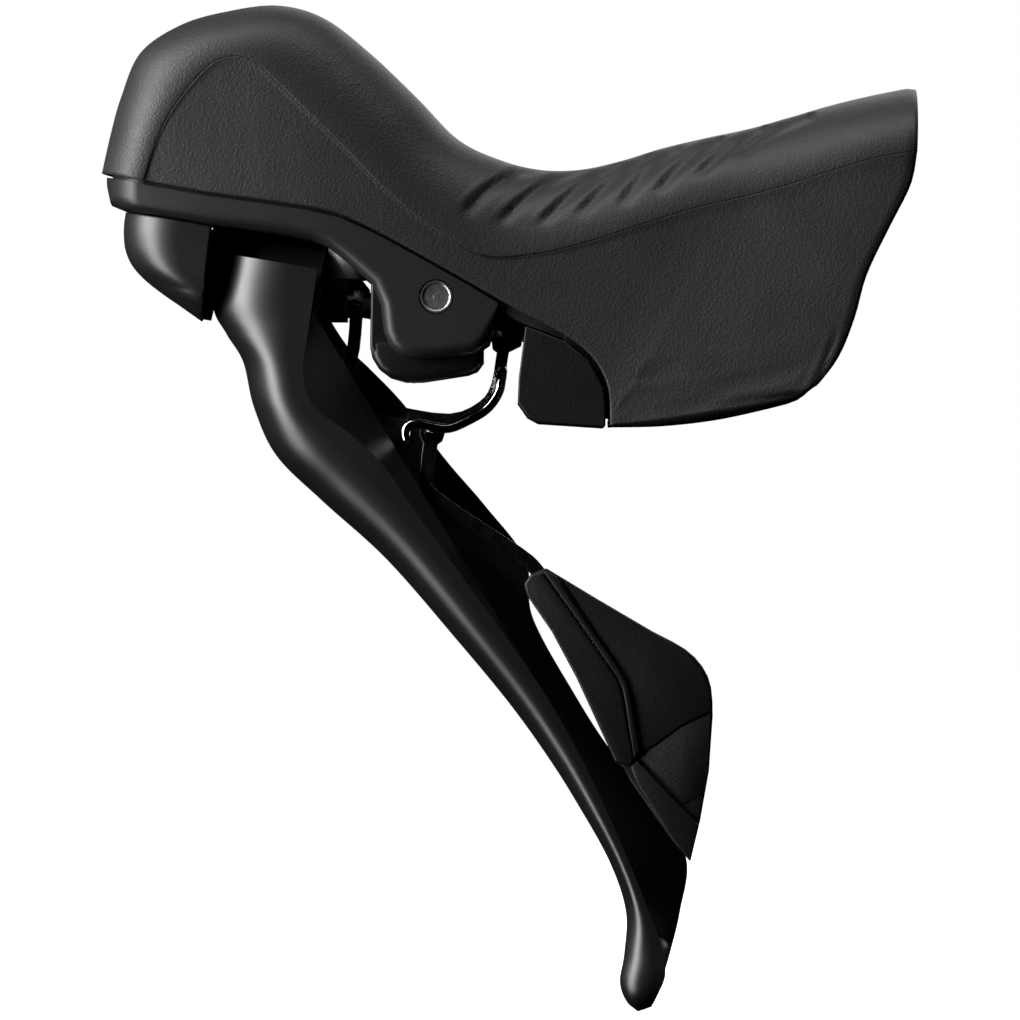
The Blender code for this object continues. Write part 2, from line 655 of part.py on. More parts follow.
def behind_saddle():
    """Return all the space behind, above and below the handlebar saddle."""
    front = -BAR_RADIUS - SADDLE_WALL
    outline = ((front, BAR_REACH), (front, SADDLE_HALF_LENGTH), (-SADDLE_SETBACK, SADDLE_HALF_LENGTH),
               (-SADDLE_SETBACK, -SADDLE_HALF_LENGTH), (front, -SADDLE_HALF_LENGTH), (front, -BAR_REACH),
               (BAR_REACH, -BAR_REACH), (BAR_REACH, BAR_REACH))
    space = prism(outline, -40, 40)
    bmesh.ops.rotate(space, verts=space.verts, matrix=Matrix.Rotation(BAR_TILT, 3, "Y"))
    return space


def fitting_bores():
    """Return the bores for the hose fitting, cable guide, lid and clamp."""
    hose = rod(HOSE_RADIUS + CLEARANCE, -CLEARANCE, 40, axis_place((HOSE_FRONT, HOSE_Y, HOSE_Z), (1, 0, 0)))
    cable = rod(CABLE_RADIUS + CLEARANCE, -CLEARANCE, 40,
                axis_place((CABLE_FRONT, CABLE_Y, CABLE_Z), (1, 0, 0)))
    bolt = rod(CLAMP_BOLT_RADIUS + CLEARANCE, 0, 60, clamp_bolt_place(), FINE_SIDES)
    head = rod(CLAMP_BOLT_HEAD_RADIUS + CLEARANCE, -6, CLAMP_BOLT_HEAD + CLEARANCE, clamp_bolt_place())
    screws = [rod(LID_SCREW_RADIUS + CLEARANCE, -LID_SCREW_LENGTH - 1, 4, axis_place((x, 0, LID_TOP), (0, 0, 1)),
                  FINE_SIDES) for x in lid_screw_places()]
    ends = box((LUG_FRONT - CLEARANCE, -40, -LUG_HEIGHT / 2 - CLEARANCE), (20, 40, LUG_HEIGHT / 2 + CLEARANCE))
    return [hose, cable, bolt, head, ends, *screws]


def lid_screw_places():
    """Return the lengthwise places of the two lid screws."""
    return (LID_FRONT + LID_SCREW_INSET, LID_REAR - LID_SCREW_INSET)


def make_bracket(moulding):
    """Bracket: lever housing, master cylinder block and handlebar saddle."""
    core = hood_solid(HOOD_WALL + CLEARANCE, 1.6, 1.6, 0)
    body = joined(core, make_rim())
    body = cut(body, behind_saddle(), bar_space(BAR_RADIUS),
               prism(CHANNEL, -CHANNEL_HALF_WIDTH, CHANNEL_HALF_WIDTH))
    boss = rod(BOSS_RADIUS, BOSS_BOTTOM, -2.0, axis_place((BOSS_X, 0, 0), (0, 0, 1)))
    body = joined(body, boss)
    cover = prism(COVER_SPACE, -40, 40)
    grub = rod(GRUB_RADIUS + CLEARANCE, BOSS_BOTTOM - 2, BOSS_BOTTOM + GRUB_LENGTH,
               axis_place((BOSS_X, 0, 0), (0, 0, 1)), FINE_SIDES)
    band_side = ring(BAR_RADIUS - 2, BAND_OUTER + 1.2, -BAND_WIDTH / 2 - CLEARANCE,
                     BAND_WIDTH / 2 + CLEARANCE, BAR, 40)
    rear_only = box((LUG_FRONT - CLEARANCE, -40, -20), (30, 40, 20))
    body = cut(body, cover, grub, combined(band_side, rear_only, "INTERSECT"))
    piece("bracket_body", cut(body, *bracket_cuts(), *fitting_bores()), moulding)


def make_lower_cover(moulding, steel):
    """Lower cover: shell with an open front, and the screw that holds it."""
    half = COVER_HALF_WIDTH
    hollow = ((-70.0, -8.0), (-70.0, -37.0), (-51.5, -38.0), (-39.6, -39.0), (-39.6, -8.0))
    shell = cut(prism(COVER_SIDE, -half, half), prism(hollow, COVER_WALL - half, half - COVER_WALL))
    place = axis_place((COVER_SCREW_X, 0, COVER_SCREW_Z), (0, 0, 1))
    boss = rod(COVER_SCREW_HEAD_RADIUS + 1.2, 0.3, COVER_SCREW_HEAD + 2.4, place)
    room = rod(COVER_SCREW_HEAD_RADIUS + CLEARANCE, -3, COVER_SCREW_HEAD + CLEARANCE, place)
    way = rod(COVER_SCREW_RADIUS + CLEARANCE, -3, 9, place)
    piece("lower_cover", cut(joined(shell, boss), room, way), moulding)
    piece("lower_cover_screw", socket_screw(COVER_SCREW_RADIUS, COVER_SCREW_LENGTH,
                                            COVER_SCREW_HEAD_RADIUS, COVER_SCREW_HEAD, place), steel)


def socket_screw(radius, length, head_radius, head, place):
    """Return a screw with its socket head at the start of a placed axis."""
    return turned([(0.8 * head, 0), (0.8 * head, 0.5 * head_radius), (0, 0.5 * head_radius),
                   (0, head_radius), (head, head_radius), (head, radius), (length, radius),
                   (length, 0)], place, FINE_SIDES)


def hex_nut(inner, outer, start, end, place):
    """Return a hexagonal nut with a round bore."""
    return cut(rod(outer, start, end, place, 6), rod(inner, start - 1, end + 1, place, FINE_SIDES))


def make_pivot(steel, spring_steel):
    """Main pivot pin, its clip and the lever's return spring."""
    groove = PIN_CLIP_Y - CLEARANCE
    pin = turned([(PIN_FACE_Y, 0), (PIN_FACE_Y, PIN_HEAD_RADIUS), (PIN_FACE_Y + PIN_HEAD, PIN_HEAD_RADIUS),
                  (PIN_FACE_Y + PIN_HEAD, PIN_RADIUS), (groove, PIN_RADIUS), (groove, PIN_NECK_RADIUS),
                  (PIN_CLIP_Y + CLIP_THICKNESS + CLEARANCE, PIN_NECK_RADIUS),
                  (PIN_CLIP_Y + CLIP_THICKNESS + CLEARANCE, PIN_RADIUS), (PIN_END_Y, PIN_RADIUS),
                  (PIN_END_Y, 0)], PIN)
    piece("pivot_pin", pin, steel)
    piece("pivot_clip", ring(PIN_NECK_RADIUS + CLEARANCE, CLIP_RADIUS, PIN_CLIP_Y,
                             PIN_CLIP_Y + CLIP_THICKNESS, PIN), spring_steel)
    reach = CARRIER_HALF_WIDTH - BUSH_LENGTH - 0.6
    gauge = (BUSH_RADIUS - PIN_RADIUS - CLEARANCE) / 2
    piece("lever_return_spring", coil(PIN_RADIUS + CLEARANCE + gauge, -reach, reach, 7, gauge, PIN),
          spring_steel)


def make_reservoir(moulding, steel, rubber):
    """Reservoir lid, diaphragm, lid screws and bleed screw under the hood."""
    half = LID_HALF_WIDTH
    lid = box((LID_FRONT, -half, LID_TOP - LID_THICKNESS), (LID_REAR, half, LID_TOP))
    upright = [edge for edge in lid.edges if abs((edge.verts[0].co - edge.verts[1].co).z) > 1]
    bmesh.ops.bevel(lid, geom=upright, offset=3.0, segments=3, profile=0.5, affect="EDGES")
    for index, x in enumerate(lid_screw_places()):
        place = axis_place((x, 0, LID_TOP), (0, 0, -1))
        lid = cut(lid, rod(LID_SCREW_RADIUS + CLEARANCE, -1, 9, place, FINE_SIDES),
                  rod(LID_HEAD_RADIUS + CLEARANCE, -1, LID_HEAD + CLEARANCE, place, FINE_SIDES))
        screw = socket_screw(LID_SCREW_RADIUS, LID_SCREW_LENGTH, LID_HEAD_RADIUS, LID_HEAD, place)
        piece(("lid_screw_front", "lid_screw_rear")[index], screw, steel)
    piece("reservoir_lid", lid, moulding)
    low = (tank_front() + CLEARANCE, CLEARANCE - RESERVOIR_HALF_WIDTH, LID_TOP - LID_THICKNESS - 4.2)
    high = (tank_rear() - CLEARANCE, RESERVOIR_HALF_WIDTH - CLEARANCE, LID_TOP - LID_THICKNESS - CLEARANCE)
    inner_low = (low[0] + 1, low[1] + 1, low[2] + 1)
    inner_high = (high[0] - 1, high[1] - 1, high[2] + 5)
    piece("reservoir_diaphragm", cut(box(low, high), box(inner_low, inner_high)), rubber)
    piece("bleed_screw", socket_screw(BLEED_RADIUS, BLEED_LENGTH, BLEED_HEAD_RADIUS, BLEED_HEAD,
                                      bleed_place()), steel)


def tank_front():
    """Return the front wall of the reservoir."""
    return LID_FRONT + TANK_INSET


def tank_rear():
    """Return the rear wall of the reservoir."""
    return LID_REAR - TANK_INSET


def bleed_place():
    """Return the matrix of the bleed screw's head."""
    top = LID_TOP - LID_THICKNESS - CLEARANCE + BLEED_HEAD + CLEARANCE
    return axis_place((LID_FRONT - BLEED_SETBACK, 0, top), (0, 0, -1))


def make_cylinder(metal, steel, spring_steel, rubber):
    """Cylinder liner, piston, push rod, piston seals and piston spring."""
    piece("cylinder_liner", ring(LINER_BORE, LINER_BORE + LINER_WALL, LINER_START,
                                 LINER_START + LINER_LENGTH, CYLINDER), metal)
    grooves = [PISTON_START + share * PISTON_LENGTH for share in (0.3, 0.75)]
    neck = PISTON_RADIUS - SEAL_SECTION
    profile = [(PISTON_START + SOCKET_DEPTH, 0), (PISTON_START + SOCKET_DEPTH, ROD_RADIUS + CLEARANCE),
               (PISTON_START, ROD_RADIUS + CLEARANCE), (PISTON_START, PISTON_RADIUS)]
    half = SEAL_SECTION / 2 + CLEARANCE
    for middle in grooves:
        profile += [(middle - half, PISTON_RADIUS), (middle - half, neck),
                    (middle + half, neck), (middle + half, PISTON_RADIUS)]
    end = PISTON_START + PISTON_LENGTH
    piece("piston", turned(profile + [(end, PISTON_RADIUS), (end, 0)], CYLINDER), metal, CAM)
    for name, middle in zip(("primary_seal", "secondary_seal"), grooves):
        seal = ring(neck + CLEARANCE, LINER_BORE - 0.2, middle - SEAL_SECTION / 2,
                    middle + SEAL_SECTION / 2, CYLINDER)
        piece(name, seal, rubber, CAM)
    tip = ROLLER_RADIUS + CLEARANCE
    piece("push_rod", rod(ROD_RADIUS, tip, PISTON_START + SOCKET_DEPTH - CLEARANCE, CYLINDER,
                          FINE_SIDES), steel, CAM)
    spring = coil(LINER_BORE - 1.0, end + CLEARANCE, LINER_START + LINER_LENGTH, 7, 0.4, CYLINDER)
    piece("piston_spring", spring, spring_steel)


def make_hose_end(brass, metal, moulding):
    """Hose fitting with its olive and insert, and the shift cable's guide."""
    place = axis_place((HOSE_FRONT, HOSE_Y, HOSE_Z), (1, 0, 0))
    piece("hose_fitting", ring(HOSE_BORE, HOSE_RADIUS, 6, HOSE_LENGTH, place, 12), metal)
    piece("hose_olive", ring(HOSE_BORE - 0.3, HOSE_RADIUS - 0.4, 2.6, 5.4, place), brass)
    piece("hose_insert", ring(0.7, HOSE_BORE - 0.7, 1.0, 10.0, place, FINE_SIDES), brass)
    place = axis_place((CABLE_FRONT, CABLE_Y, CABLE_Z), (1, 0, 0))
    piece("cable_guide", ring(CABLE_RADIUS - 1.2, CABLE_RADIUS, 0, CABLE_LENGTH, place), moulding)


def make_reach_screw(steel):
    """Reach screw: the grub screw on which the lever rests."""
    place = axis_place((BOSS_X, 0, BOSS_BOTTOM), (0, 0, 1))
    screw = turned([(1.6, 0), (1.6, 0.8), (0.1, 0.8), (0.1, GRUB_RADIUS), (GRUB_LENGTH - CLEARANCE, GRUB_RADIUS),
                    (GRUB_LENGTH - CLEARANCE, 0)], place, FINE_SIDES)
    piece("reach_screw", screw, steel)


def clamp_bolt_place():
    """Return the matrix of the clamp bolt, from its head to its nut."""
    return axis_place((CLAMP_BOLT_FRONT, CLAMP_BOLT_Y, 0), CLAMP_BOLT_COURSE)


def band_ends():
    """Return the clamp band's far lug and near hook."""
    low, high = -LUG_HEIGHT / 2, LUG_HEIGHT / 2
    lug = box((LUG_FRONT, BAR_RADIUS - 1, low), (LUG_FRONT + LUG_LENGTH, BAR_RADIUS + LUG_DEPTH, high))
    hook = box((LUG_FRONT, -BAR_RADIUS - HOOK_DEPTH, low), (LUG_FRONT + LUG_LENGTH, 1 - BAR_RADIUS, high))
    return lug, hook


def make_clamp(steel, metal):
    """Clamp band round the back of the bar, with its bolt and nut."""
    whole = ring(BAR_RADIUS + CLEARANCE, BAND_OUTER, -BAND_WIDTH / 2, BAND_WIDTH / 2, BAR, 40)
    behind = box((LUG_FRONT + 1, -40, -30), (40, 40, 30))
    band = joined(combined(whole, behind, "INTERSECT"), *band_ends())
    way = rod(CLAMP_BOLT_RADIUS + CLEARANCE, 0, 60, clamp_bolt_place(), FINE_SIDES)
    inside = rod(BAR_RADIUS + CLEARANCE, -30, 30, BAR, 40)
    piece("clamp_band", cut(band, way, inside), steel)
    place = clamp_bolt_place()
    piece("clamp_bolt", socket_screw(CLAMP_BOLT_RADIUS, CLAMP_BOLT_LENGTH, CLAMP_BOLT_HEAD_RADIUS,
                                     CLAMP_BOLT_HEAD, place), steel)
    end = CLAMP_BOLT_LENGTH - 0.4
    piece("clamp_nut", hex_nut(CLAMP_BOLT_RADIUS + CLEARANCE, NUT_RADIUS, end - NUT_LENGTH, end, place),
          metal)


# ---------------------------------------------------------------- carrier

def make_carrier(metal, brass, steel):
    """Lever carrier: block that turns on the pivot pin, with bushes and cam."""
    block = prism(CARRIER, -CARRIER_HALF_WIDTH, CARRIER_HALF_WIDTH)
    low = [edge for edge in block.edges
           if abs((edge.verts[0].co - edge.verts[1].co).y) < 0.1
           and max(vert.co.z for vert in edge.verts) < -28.0]
    bmesh.ops.bevel(block, geom=low, offset=2.4, segments=3, profile=0.5, affect="EDGES")
    wide = CARRIER_HALF_WIDTH + 5
    sides = [box((-90, low_y, -11.6), (-50, high_y, 5))
             for low_y, high_y in ((-wide, -ARM_HALF_WIDTH), (ARM_HALF_WIDTH, wide))]
    fork = box((-90, -ROLLER_LENGTH / 2 - CLEARANCE, -9.0), (-50, ROLLER_LENGTH / 2 + CLEARANCE, 5))
    cam = axis_place(CAM, (0, 1, 0))
    block = cut(block, *sides, fork, rod(BUSH_RADIUS + CLEARANCE, -wide, wide, PIN),
                rod(ROLLER_PIN_RADIUS + CLEARANCE, -wide, wide, cam, FINE_SIDES),
                rod(AXLE_RADIUS + CLEARANCE, AXLE_REAR - CLEARANCE, 20, SHIFT),
                rod(STUB_RADIUS + CLEARANCE, -40, STUB_FRONT + CLEARANCE, SHIFT))
    piece("lever_carrier", block, metal, PIVOT)
    for name, side in (("carrier_bush_near", -1), ("carrier_bush_far", 1)):
        ends = sorted((side * (CARRIER_HALF_WIDTH - 0.2), side * (CARRIER_HALF_WIDTH - 0.2 - BUSH_LENGTH)))
        piece(name, ring(PIN_RADIUS + CLEARANCE, BUSH_RADIUS, *ends, PIN), brass, PIVOT)
    half = ROLLER_LENGTH / 2
    piece("cam_roller", ring(ROLLER_PIN_RADIUS + CLEARANCE, ROLLER_RADIUS, -half, half, cam), steel, PIVOT)
    reach = ARM_HALF_WIDTH - 0.2
    piece("cam_roller_pin", rod(ROLLER_PIN_RADIUS, -reach, reach, cam, FINE_SIDES), steel, PIVOT)


def make_axle(steel, metal):
    """Shift axle, its nut and front plate, the ratchet case and rear stub."""
    nut_end = PLATE_REAR + PLATE_THICKNESS + CLEARANCE + NUT_THICKNESS
    piece("shift_axle", rod(AXLE_RADIUS, AXLE_REAR, nut_end + 0.6, SHIFT), steel, PIVOT)
    piece("axle_nut", hex_nut(AXLE_RADIUS + CLEARANCE, AXLE_RADIUS + AXLE_NUT_WALL,
                              nut_end - NUT_THICKNESS, nut_end, SHIFT), steel, PIVOT)
    plate = ring(AXLE_RADIUS + CLEARANCE, PLATE_RADIUS, PLATE_REAR, PLATE_REAR + PLATE_THICKNESS, SHIFT)
    room = [(x, z - CLEARANCE if z > -8 else z + 2 * CLEARANCE) for x, z in CAP_HOLLOW]
    plate = combined(plate, cap_solid(CAP_WALL + CLEARANCE, room), "INTERSECT")
    piece("front_plate", cut(plate, cap_screw_way()), metal, PIVOT)
    half = CASE_HALF_WIDTH
    case_front = AXIS_X - (HUB_REAR - CASE_GAP) * cos(AXIS_RISE)
    case = box((case_front, -half, CASE_BOTTOM), (CASE_REAR, half, BOSS_BOTTOM - CLEARANCE))
    piece("ratchet_case", cut(case, rod(AXLE_RADIUS + CLEARANCE, 0, 12, SHIFT)), metal, PIVOT)
    stub = turned([(STUB_FRONT, 0), (STUB_FRONT, STUB_RADIUS), (STUB_CLIP + CLEARANCE, STUB_RADIUS),
                   (STUB_CLIP + CLEARANCE, STUB_NECK), (STUB_CLIP - 0.7 - CLEARANCE, STUB_NECK),
                   (STUB_CLIP - 0.7 - CLEARANCE, STUB_RADIUS), (STUB_REAR, STUB_RADIUS), (STUB_REAR, 0)][::-1],
                  SHIFT, FINE_SIDES)
    piece("rear_stub_pin", stub, steel, PIVOT)
    piece("stub_clip", ring(STUB_NECK + CLEARANCE, 2.6, STUB_CLIP - 0.7, STUB_CLIP, SHIFT), steel, PIVOT)


def cap_screw_way():
    """Return the bore of the cap's screw."""
    return rod(CAP_SCREW_RADIUS + CLEARANCE, -6, 12, cap_screw_place(), FINE_SIDES)


def cap_screw_place():
    """Return the matrix of the cap's screw, from its head backwards."""
    head = on_axis(PLATE_REAR + CAP_SCREW_LENGTH) + Vector((0, 0, -(AXLE_RADIUS + AXLE_NUT_WALL + CAP_SCREW_GAP)))
    return axis_place(head, -FORWARD)


def cap_plan(inset):
    """Return the cap's outline from above, less an inset."""
    half = CAP_HALF_WIDTH - inset
    right = [(-CAP_NOSE - (CAP_NOSE_DEPTH - inset) * cos(pi / 2 * k / 7), half * sin(pi / 2 * k / 7))
             for k in range(8)]
    right.append((-104.0, half))
    return right + [(x, -y) for x, y in right[:0:-1]]


def cap_solid(inset, outline):
    """Return the cap's form inside a side outline."""
    side = prism(outline, -30, 30)
    plan = loft([[(x, y, z) for x, y in cap_plan(inset)] for z in (-40, 20)])
    return combined(side, plan, "INTERSECT")


def make_name_cap(moulding, steel):
    """Front cap, a blank shell, and the screw that holds it."""
    shell = cut(cap_solid(0, CAP_SIDE), cap_solid(CAP_WALL, CAP_HOLLOW))
    room = rod(CAP_SCREW_HEAD_RADIUS + CLEARANCE, -9, CAP_SCREW_HEAD + CLEARANCE, cap_screw_place(), FINE_SIDES)
    piece("name_cap", cut(shell, room, cap_screw_way()), moulding, PIVOT)
    piece("cap_screw", socket_screw(CAP_SCREW_RADIUS, CAP_SCREW_LENGTH, CAP_SCREW_HEAD_RADIUS,
                                    CAP_SCREW_HEAD, cap_screw_place()), steel, PIVOT)


# ---------------------------------------------------------------- main lever

def blade_half_width(row):
    """Return the blade's half width at a row."""
    return BLADE_TOP_HALF_WIDTH + (BLADE_TIP_HALF_WIDTH - BLADE_TOP_HALF_WIDTH) * row.taper


def blade_section(row, inset=0.0, shift=(0, 0)):
    """Return a blade section: near side, rounded front, far side."""
    half = max(blade_half_width(row) - inset, 0.6)
    middle = lerp(row.near, row.far, 0.5)
    front = moved(row.front, Vector(middle) - Vector(row.front), inset)
    section = []
    for side, edge in ((-1, row.near), (1, row.far)):
        way = Vector(edge) - Vector(front)
        edge = moved(edge, way, inset * 3)
        depth = min(BLADE_ROUND, 0.6 * way.length)
        start = moved(front, way, depth)
        line = [(*edge, half)]
        for step in range(BLADE_STEPS + 1):
            turn = pi / 2 * step / BLADE_STEPS
            line.append((*lerp(start, front, sin(turn)), half * cos(turn) ** 0.8))
        line = [(x + shift[0], y * side, z + shift[1]) for x, z, y in line]
        section += line if side < 0 else line[-2::-1]
    return section


def make_blade(alloy):
    """Lever blade: open-backed shell with a solid tip."""
    outer = loft([blade_section(row) for row in BLADE_ROWS + TIP_ROWS], paired=True)
    rows = [blade_section(BLADE_ROWS[0], BLADE_WALL, (0, 8))]
    rows += [blade_section(row, BLADE_WALL) for row in BLADE_ROWS[:-1]]
    blade = cut(outer, loft(rows, paired=True), rod(AXLE_RADIUS + CLEARANCE, 20, 40, SHIFT))
    for place in blade_screw_places():
        blade = cut(blade, rod(BLADE_SCREW_RADIUS + CLEARANCE, -4, 9, place, FINE_SIDES),
                    rod(BLADE_SCREW_HEAD_RADIUS + CLEARANCE, -4, BLADE_SCREW_HEAD + CLEARANCE, place, FINE_SIDES))
    for x, z in TANG_RIVETS:
        blade = cut(blade, rod(RIVET_RADIUS + CLEARANCE, 0, RIVET_END - 5 + CLEARANCE,
                               axis_place((x, 5, z), (0, 1, 0)), FINE_SIDES))
    piece("lever_blade", blade, alloy, AXIS_POINT)


def blade_screw_places():
    """Return the matrices of the two screws that hold the blade to its hub."""
    points = [on_axis(HUB_REAR + share * HUB_LENGTH) for share in (0.25, 0.68)]
    return [axis_place((point.x, BLADE_TOP_HALF_WIDTH - 0.3, point.z), (0, -1, 0)) for point in points]


def make_hub(alloy, metal, brass, steel):
    """Lever hub: a cup round the ratchet, with its tang, bush and cover."""
    front, rear = HUB_FRONT, HUB_REAR
    inner = HUB_RADIUS - HUB_WALL
    cup = turned([(rear, AXLE_RADIUS + 1.3), (rear, HUB_RADIUS), (front - 4.5, HUB_RADIUS),
                  (front, HUB_RADIUS - 2.6), (front, inner - 2.0), (front - 3, inner - 2.0),
                  (front - 4.5, inner), (rear + HUB_WALL, inner), (rear + HUB_WALL, AXLE_RADIUS + 1.3)], SHIFT, 32)
    tang = prism(TANG, TANG_OUTER - TANG_WALL, TANG_OUTER)
    cup = joined(cup, tang)
    for place in blade_screw_places():
        cup = cut(cup, rod(BLADE_SCREW_RADIUS + CLEARANCE, 0, 5, place, FINE_SIDES))
    for x, z in TANG_RIVETS:
        cup = cut(cup, rod(RIVET_RADIUS + CLEARANCE, 0, 6, axis_place((x, 4, z), (0, 1, 0)), FINE_SIDES))
    piece("lever_hub", cup, metal, AXIS_POINT)
    piece("hub_bush", ring(AXLE_RADIUS + CLEARANCE, AXLE_RADIUS + 1.0, rear, rear + 2.4, SHIFT), brass, AXIS_POINT)
    piece("hub_cover", ring(AXLE_RADIUS + CLEARANCE, inner - 2.3, front - 1.4, front, SHIFT), alloy, AXIS_POINT)
    for name, place in zip(("blade_screw_front", "blade_screw_rear"), blade_screw_places()[::-1]):
        piece(name, socket_screw(BLADE_SCREW_RADIUS, BLADE_SCREW_LENGTH, BLADE_SCREW_HEAD_RADIUS,
                                 BLADE_SCREW_HEAD, place), steel, AXIS_POINT)
    for name, (x, z) in zip(("tang_rivet_upper", "tang_rivet_lower"), TANG_RIVETS):
        place = axis_place((x, 0, z), (0, 1, 0))
        head = TANG_OUTER - TANG_WALL - CLEARANCE
        rivet = turned([(head - 0.8, 0), (head - 0.5, 1.2), (head, 1.5), (head, RIVET_RADIUS),
                        (RIVET_END, RIVET_RADIUS), (RIVET_END, 0)], place, FINE_SIDES)
        piece(name, rivet, steel, AXIS_POINT)


def make_ratchet(metal, steel, spring_steel):
    """Cable drum, ratchet wheel, pawl and lever spring inside the hub."""
    start = HUB_FRONT - 4.7 - DRUM_LENGTH
    drum = turned([(start, AXLE_RADIUS + CLEARANCE), (start, DRUM_RADIUS), (start + 1, DRUM_RADIUS),
                   (start + DRUM_LENGTH / 2, DRUM_RADIUS - 1.5), (start + DRUM_LENGTH - 1, DRUM_RADIUS),
                   (start + DRUM_LENGTH, DRUM_RADIUS), (start + DRUM_LENGTH, AXLE_RADIUS + CLEARANCE)], SHIFT)
    piece("cable_drum", drum, metal, AXIS_POINT)
    low, high = start - CLEARANCE - WHEEL_LENGTH, start - CLEARANCE
    root = DRUM_RADIUS - 1.4
    points = []
    for index in range(WHEEL_TEETH * 2):
        radius = root + (WHEEL_TOOTH if index % 2 else 0)
        angle = pi * (index // 2 * 2 + (index % 2) * 0.6) / WHEEL_TEETH
        points.append((radius * cos(angle), radius * sin(angle)))
    wheel = loft([[SHIFT @ Vector((x, y, height)) for x, y in points] for height in (low, high)])
    bore = rod(AXLE_RADIUS + CLEARANCE, low - 1, high + 1, SHIFT)
    piece("ratchet_wheel", cut(wheel, bore), steel, AXIS_POINT)
    outer = HUB_RADIUS - HUB_WALL
    pawl = box((root + WHEEL_TOOTH + CLEARANCE, -1.6, low + 0.2), (outer - 0.4, 1.6, high - 0.2))
    bmesh.ops.transform(pawl, verts=pawl.verts, matrix=SHIFT)
    piece("holding_pawl", pawl, steel, AXIS_POINT)
    spring = coil(outer - 1.6, HUB_REAR + HUB_WALL + CLEARANCE, low - CLEARANCE, 2, 0.25, SHIFT)
    piece("lever_shift_spring", spring, spring_steel, AXIS_POINT)


# ---------------------------------------------------------------- shift paddle

def make_yoke(steel, spring_steel):
    """Yoke: stirrup that hangs from the axle and the stub, and its spring."""
    half = STRAP_HALF_WIDTH
    strap = ribbon(YOKE_PATH, STRAP_THICKNESS, -half, half)
    rear_eye = -(YOKE_PATH[-1][0] - AXIS_X) / cos(AXIS_RISE)
    eyes = [rod(EYE_RADIUS, middle - EYE_THICKNESS / 2, middle + EYE_THICKNESS / 2, SHIFT)
            for middle in (0.7, rear_eye)]
    x, z = ARM_RIVET
    lug = rod(LUG_RADIUS, -half, 0, axis_place((x, 0, z), (0, 1, 0)), FINE_SIDES)
    yoke = joined(strap, *eyes, lug)
    yoke = cut(yoke, rod(AXLE_RADIUS + CLEARANCE, -4, 6, SHIFT),
               rod(STUB_RADIUS + CLEARANCE, -34, -20, SHIFT),
               rod(RIVET_RADIUS + CLEARANCE, -9, 3, axis_place((x, 0, z), (0, 1, 0)), FINE_SIDES))
    piece("paddle_yoke", yoke, steel, AXIS_POINT)
    gap_front = -(CARRIER[7][0] - AXIS_X) / cos(AXIS_RISE) - 0.5
    spring = coil(STUB_RADIUS + 0.9, rear_eye + EYE_THICKNESS / 2 + 0.5, gap_front, 2, 0.4, SHIFT)
    piece("paddle_spring", spring, spring_steel, AXIS_POINT)


def make_arm(steel, chrome):
    """Paddle arm with its rivets, and the bright hooked rod beside it."""
    arm = ribbon(ARM_PATH, ARM_WIDTH, ARM_INNER - ARM_THICKNESS, ARM_INNER)
    x, z = ARM_RIVET
    eye = rod(LUG_RADIUS, ARM_INNER - ARM_THICKNESS, ARM_INNER, axis_place((x, 0, z), (0, 1, 0)), FINE_SIDES)
    arm = joined(arm, eye)
    places = [(x, z)] + list(GRIP_RIVETS)
    for x, z in places:
        arm = cut(arm, rod(RIVET_RADIUS + CLEARANCE, -20, 20, axis_place((x, 0, z), (0, 1, 0)), FINE_SIDES))
    piece("paddle_arm", arm, steel, AXIS_POINT)
    rows = [(x, ROD_Y, z) for x, z in spline(ROD_PATH, 3)]
    x, z = ROD_PATH[-1]
    rows += [(x + 0.2, ROD_Y + 1.2, z + 1.4), (x + 0.2, -STRAP_HALF_WIDTH - ROD_WIRE_RADIUS - CLEARANCE, z + 2.0)]
    piece("paddle_rod", wire(rows, ROD_WIRE_RADIUS), chrome, AXIS_POINT)
    x, z = ARM_RIVET
    end = ARM_INNER - ARM_THICKNESS - CLEARANCE
    rivet = turned([(end - 0.7, 0), (end - 0.4, 1.1), (end, 1.4), (end, RIVET_RADIUS), (-0.6, RIVET_RADIUS),
                    (-0.6, 0)], axis_place((x, 0, z), (0, 1, 0)), FINE_SIDES)
    piece("arm_rivet", rivet, chrome, AXIS_POINT)


def make_paddle(grip):
    """Shift paddle: plate on the near side of the arm, and its rivets."""
    plate = prism(PADDLE, PADDLE_INNER - PADDLE_THICKNESS, PADDLE_INNER)
    for x, z in GRIP_RIVETS:
        plate = cut(plate, rod(RIVET_RADIUS + CLEARANCE, 0, 4 + PADDLE_THICKNESS / 2,
                               axis_place((x, PADDLE_INNER + 4, z), (0, -1, 0)), FINE_SIDES))
    piece("shift_paddle", plate, grip, AXIS_POINT)


def make_grip_rivets(steel):
    """Rivets that hold the paddle to its arm, headed behind the arm."""
    for name, (x, z) in zip(("grip_rivet_upper", "grip_rivet_lower"), GRIP_RIVETS):
        place = axis_place((x, 0, z), (0, -1, 0))
        head = -ARM_INNER - CLEARANCE
        end = -PADDLE_INNER + PADDLE_THICKNESS / 2 - CLEARANCE
        rivet = turned([(head - 0.6, 0), (head - 0.6, 1.4), (head, 1.4), (head, RIVET_RADIUS),
                        (end, RIVET_RADIUS), (end, 0)], place, FINE_SIDES)
        piece(name, rivet, steel, AXIS_POINT)


# ---------------------------------------------------------------- build

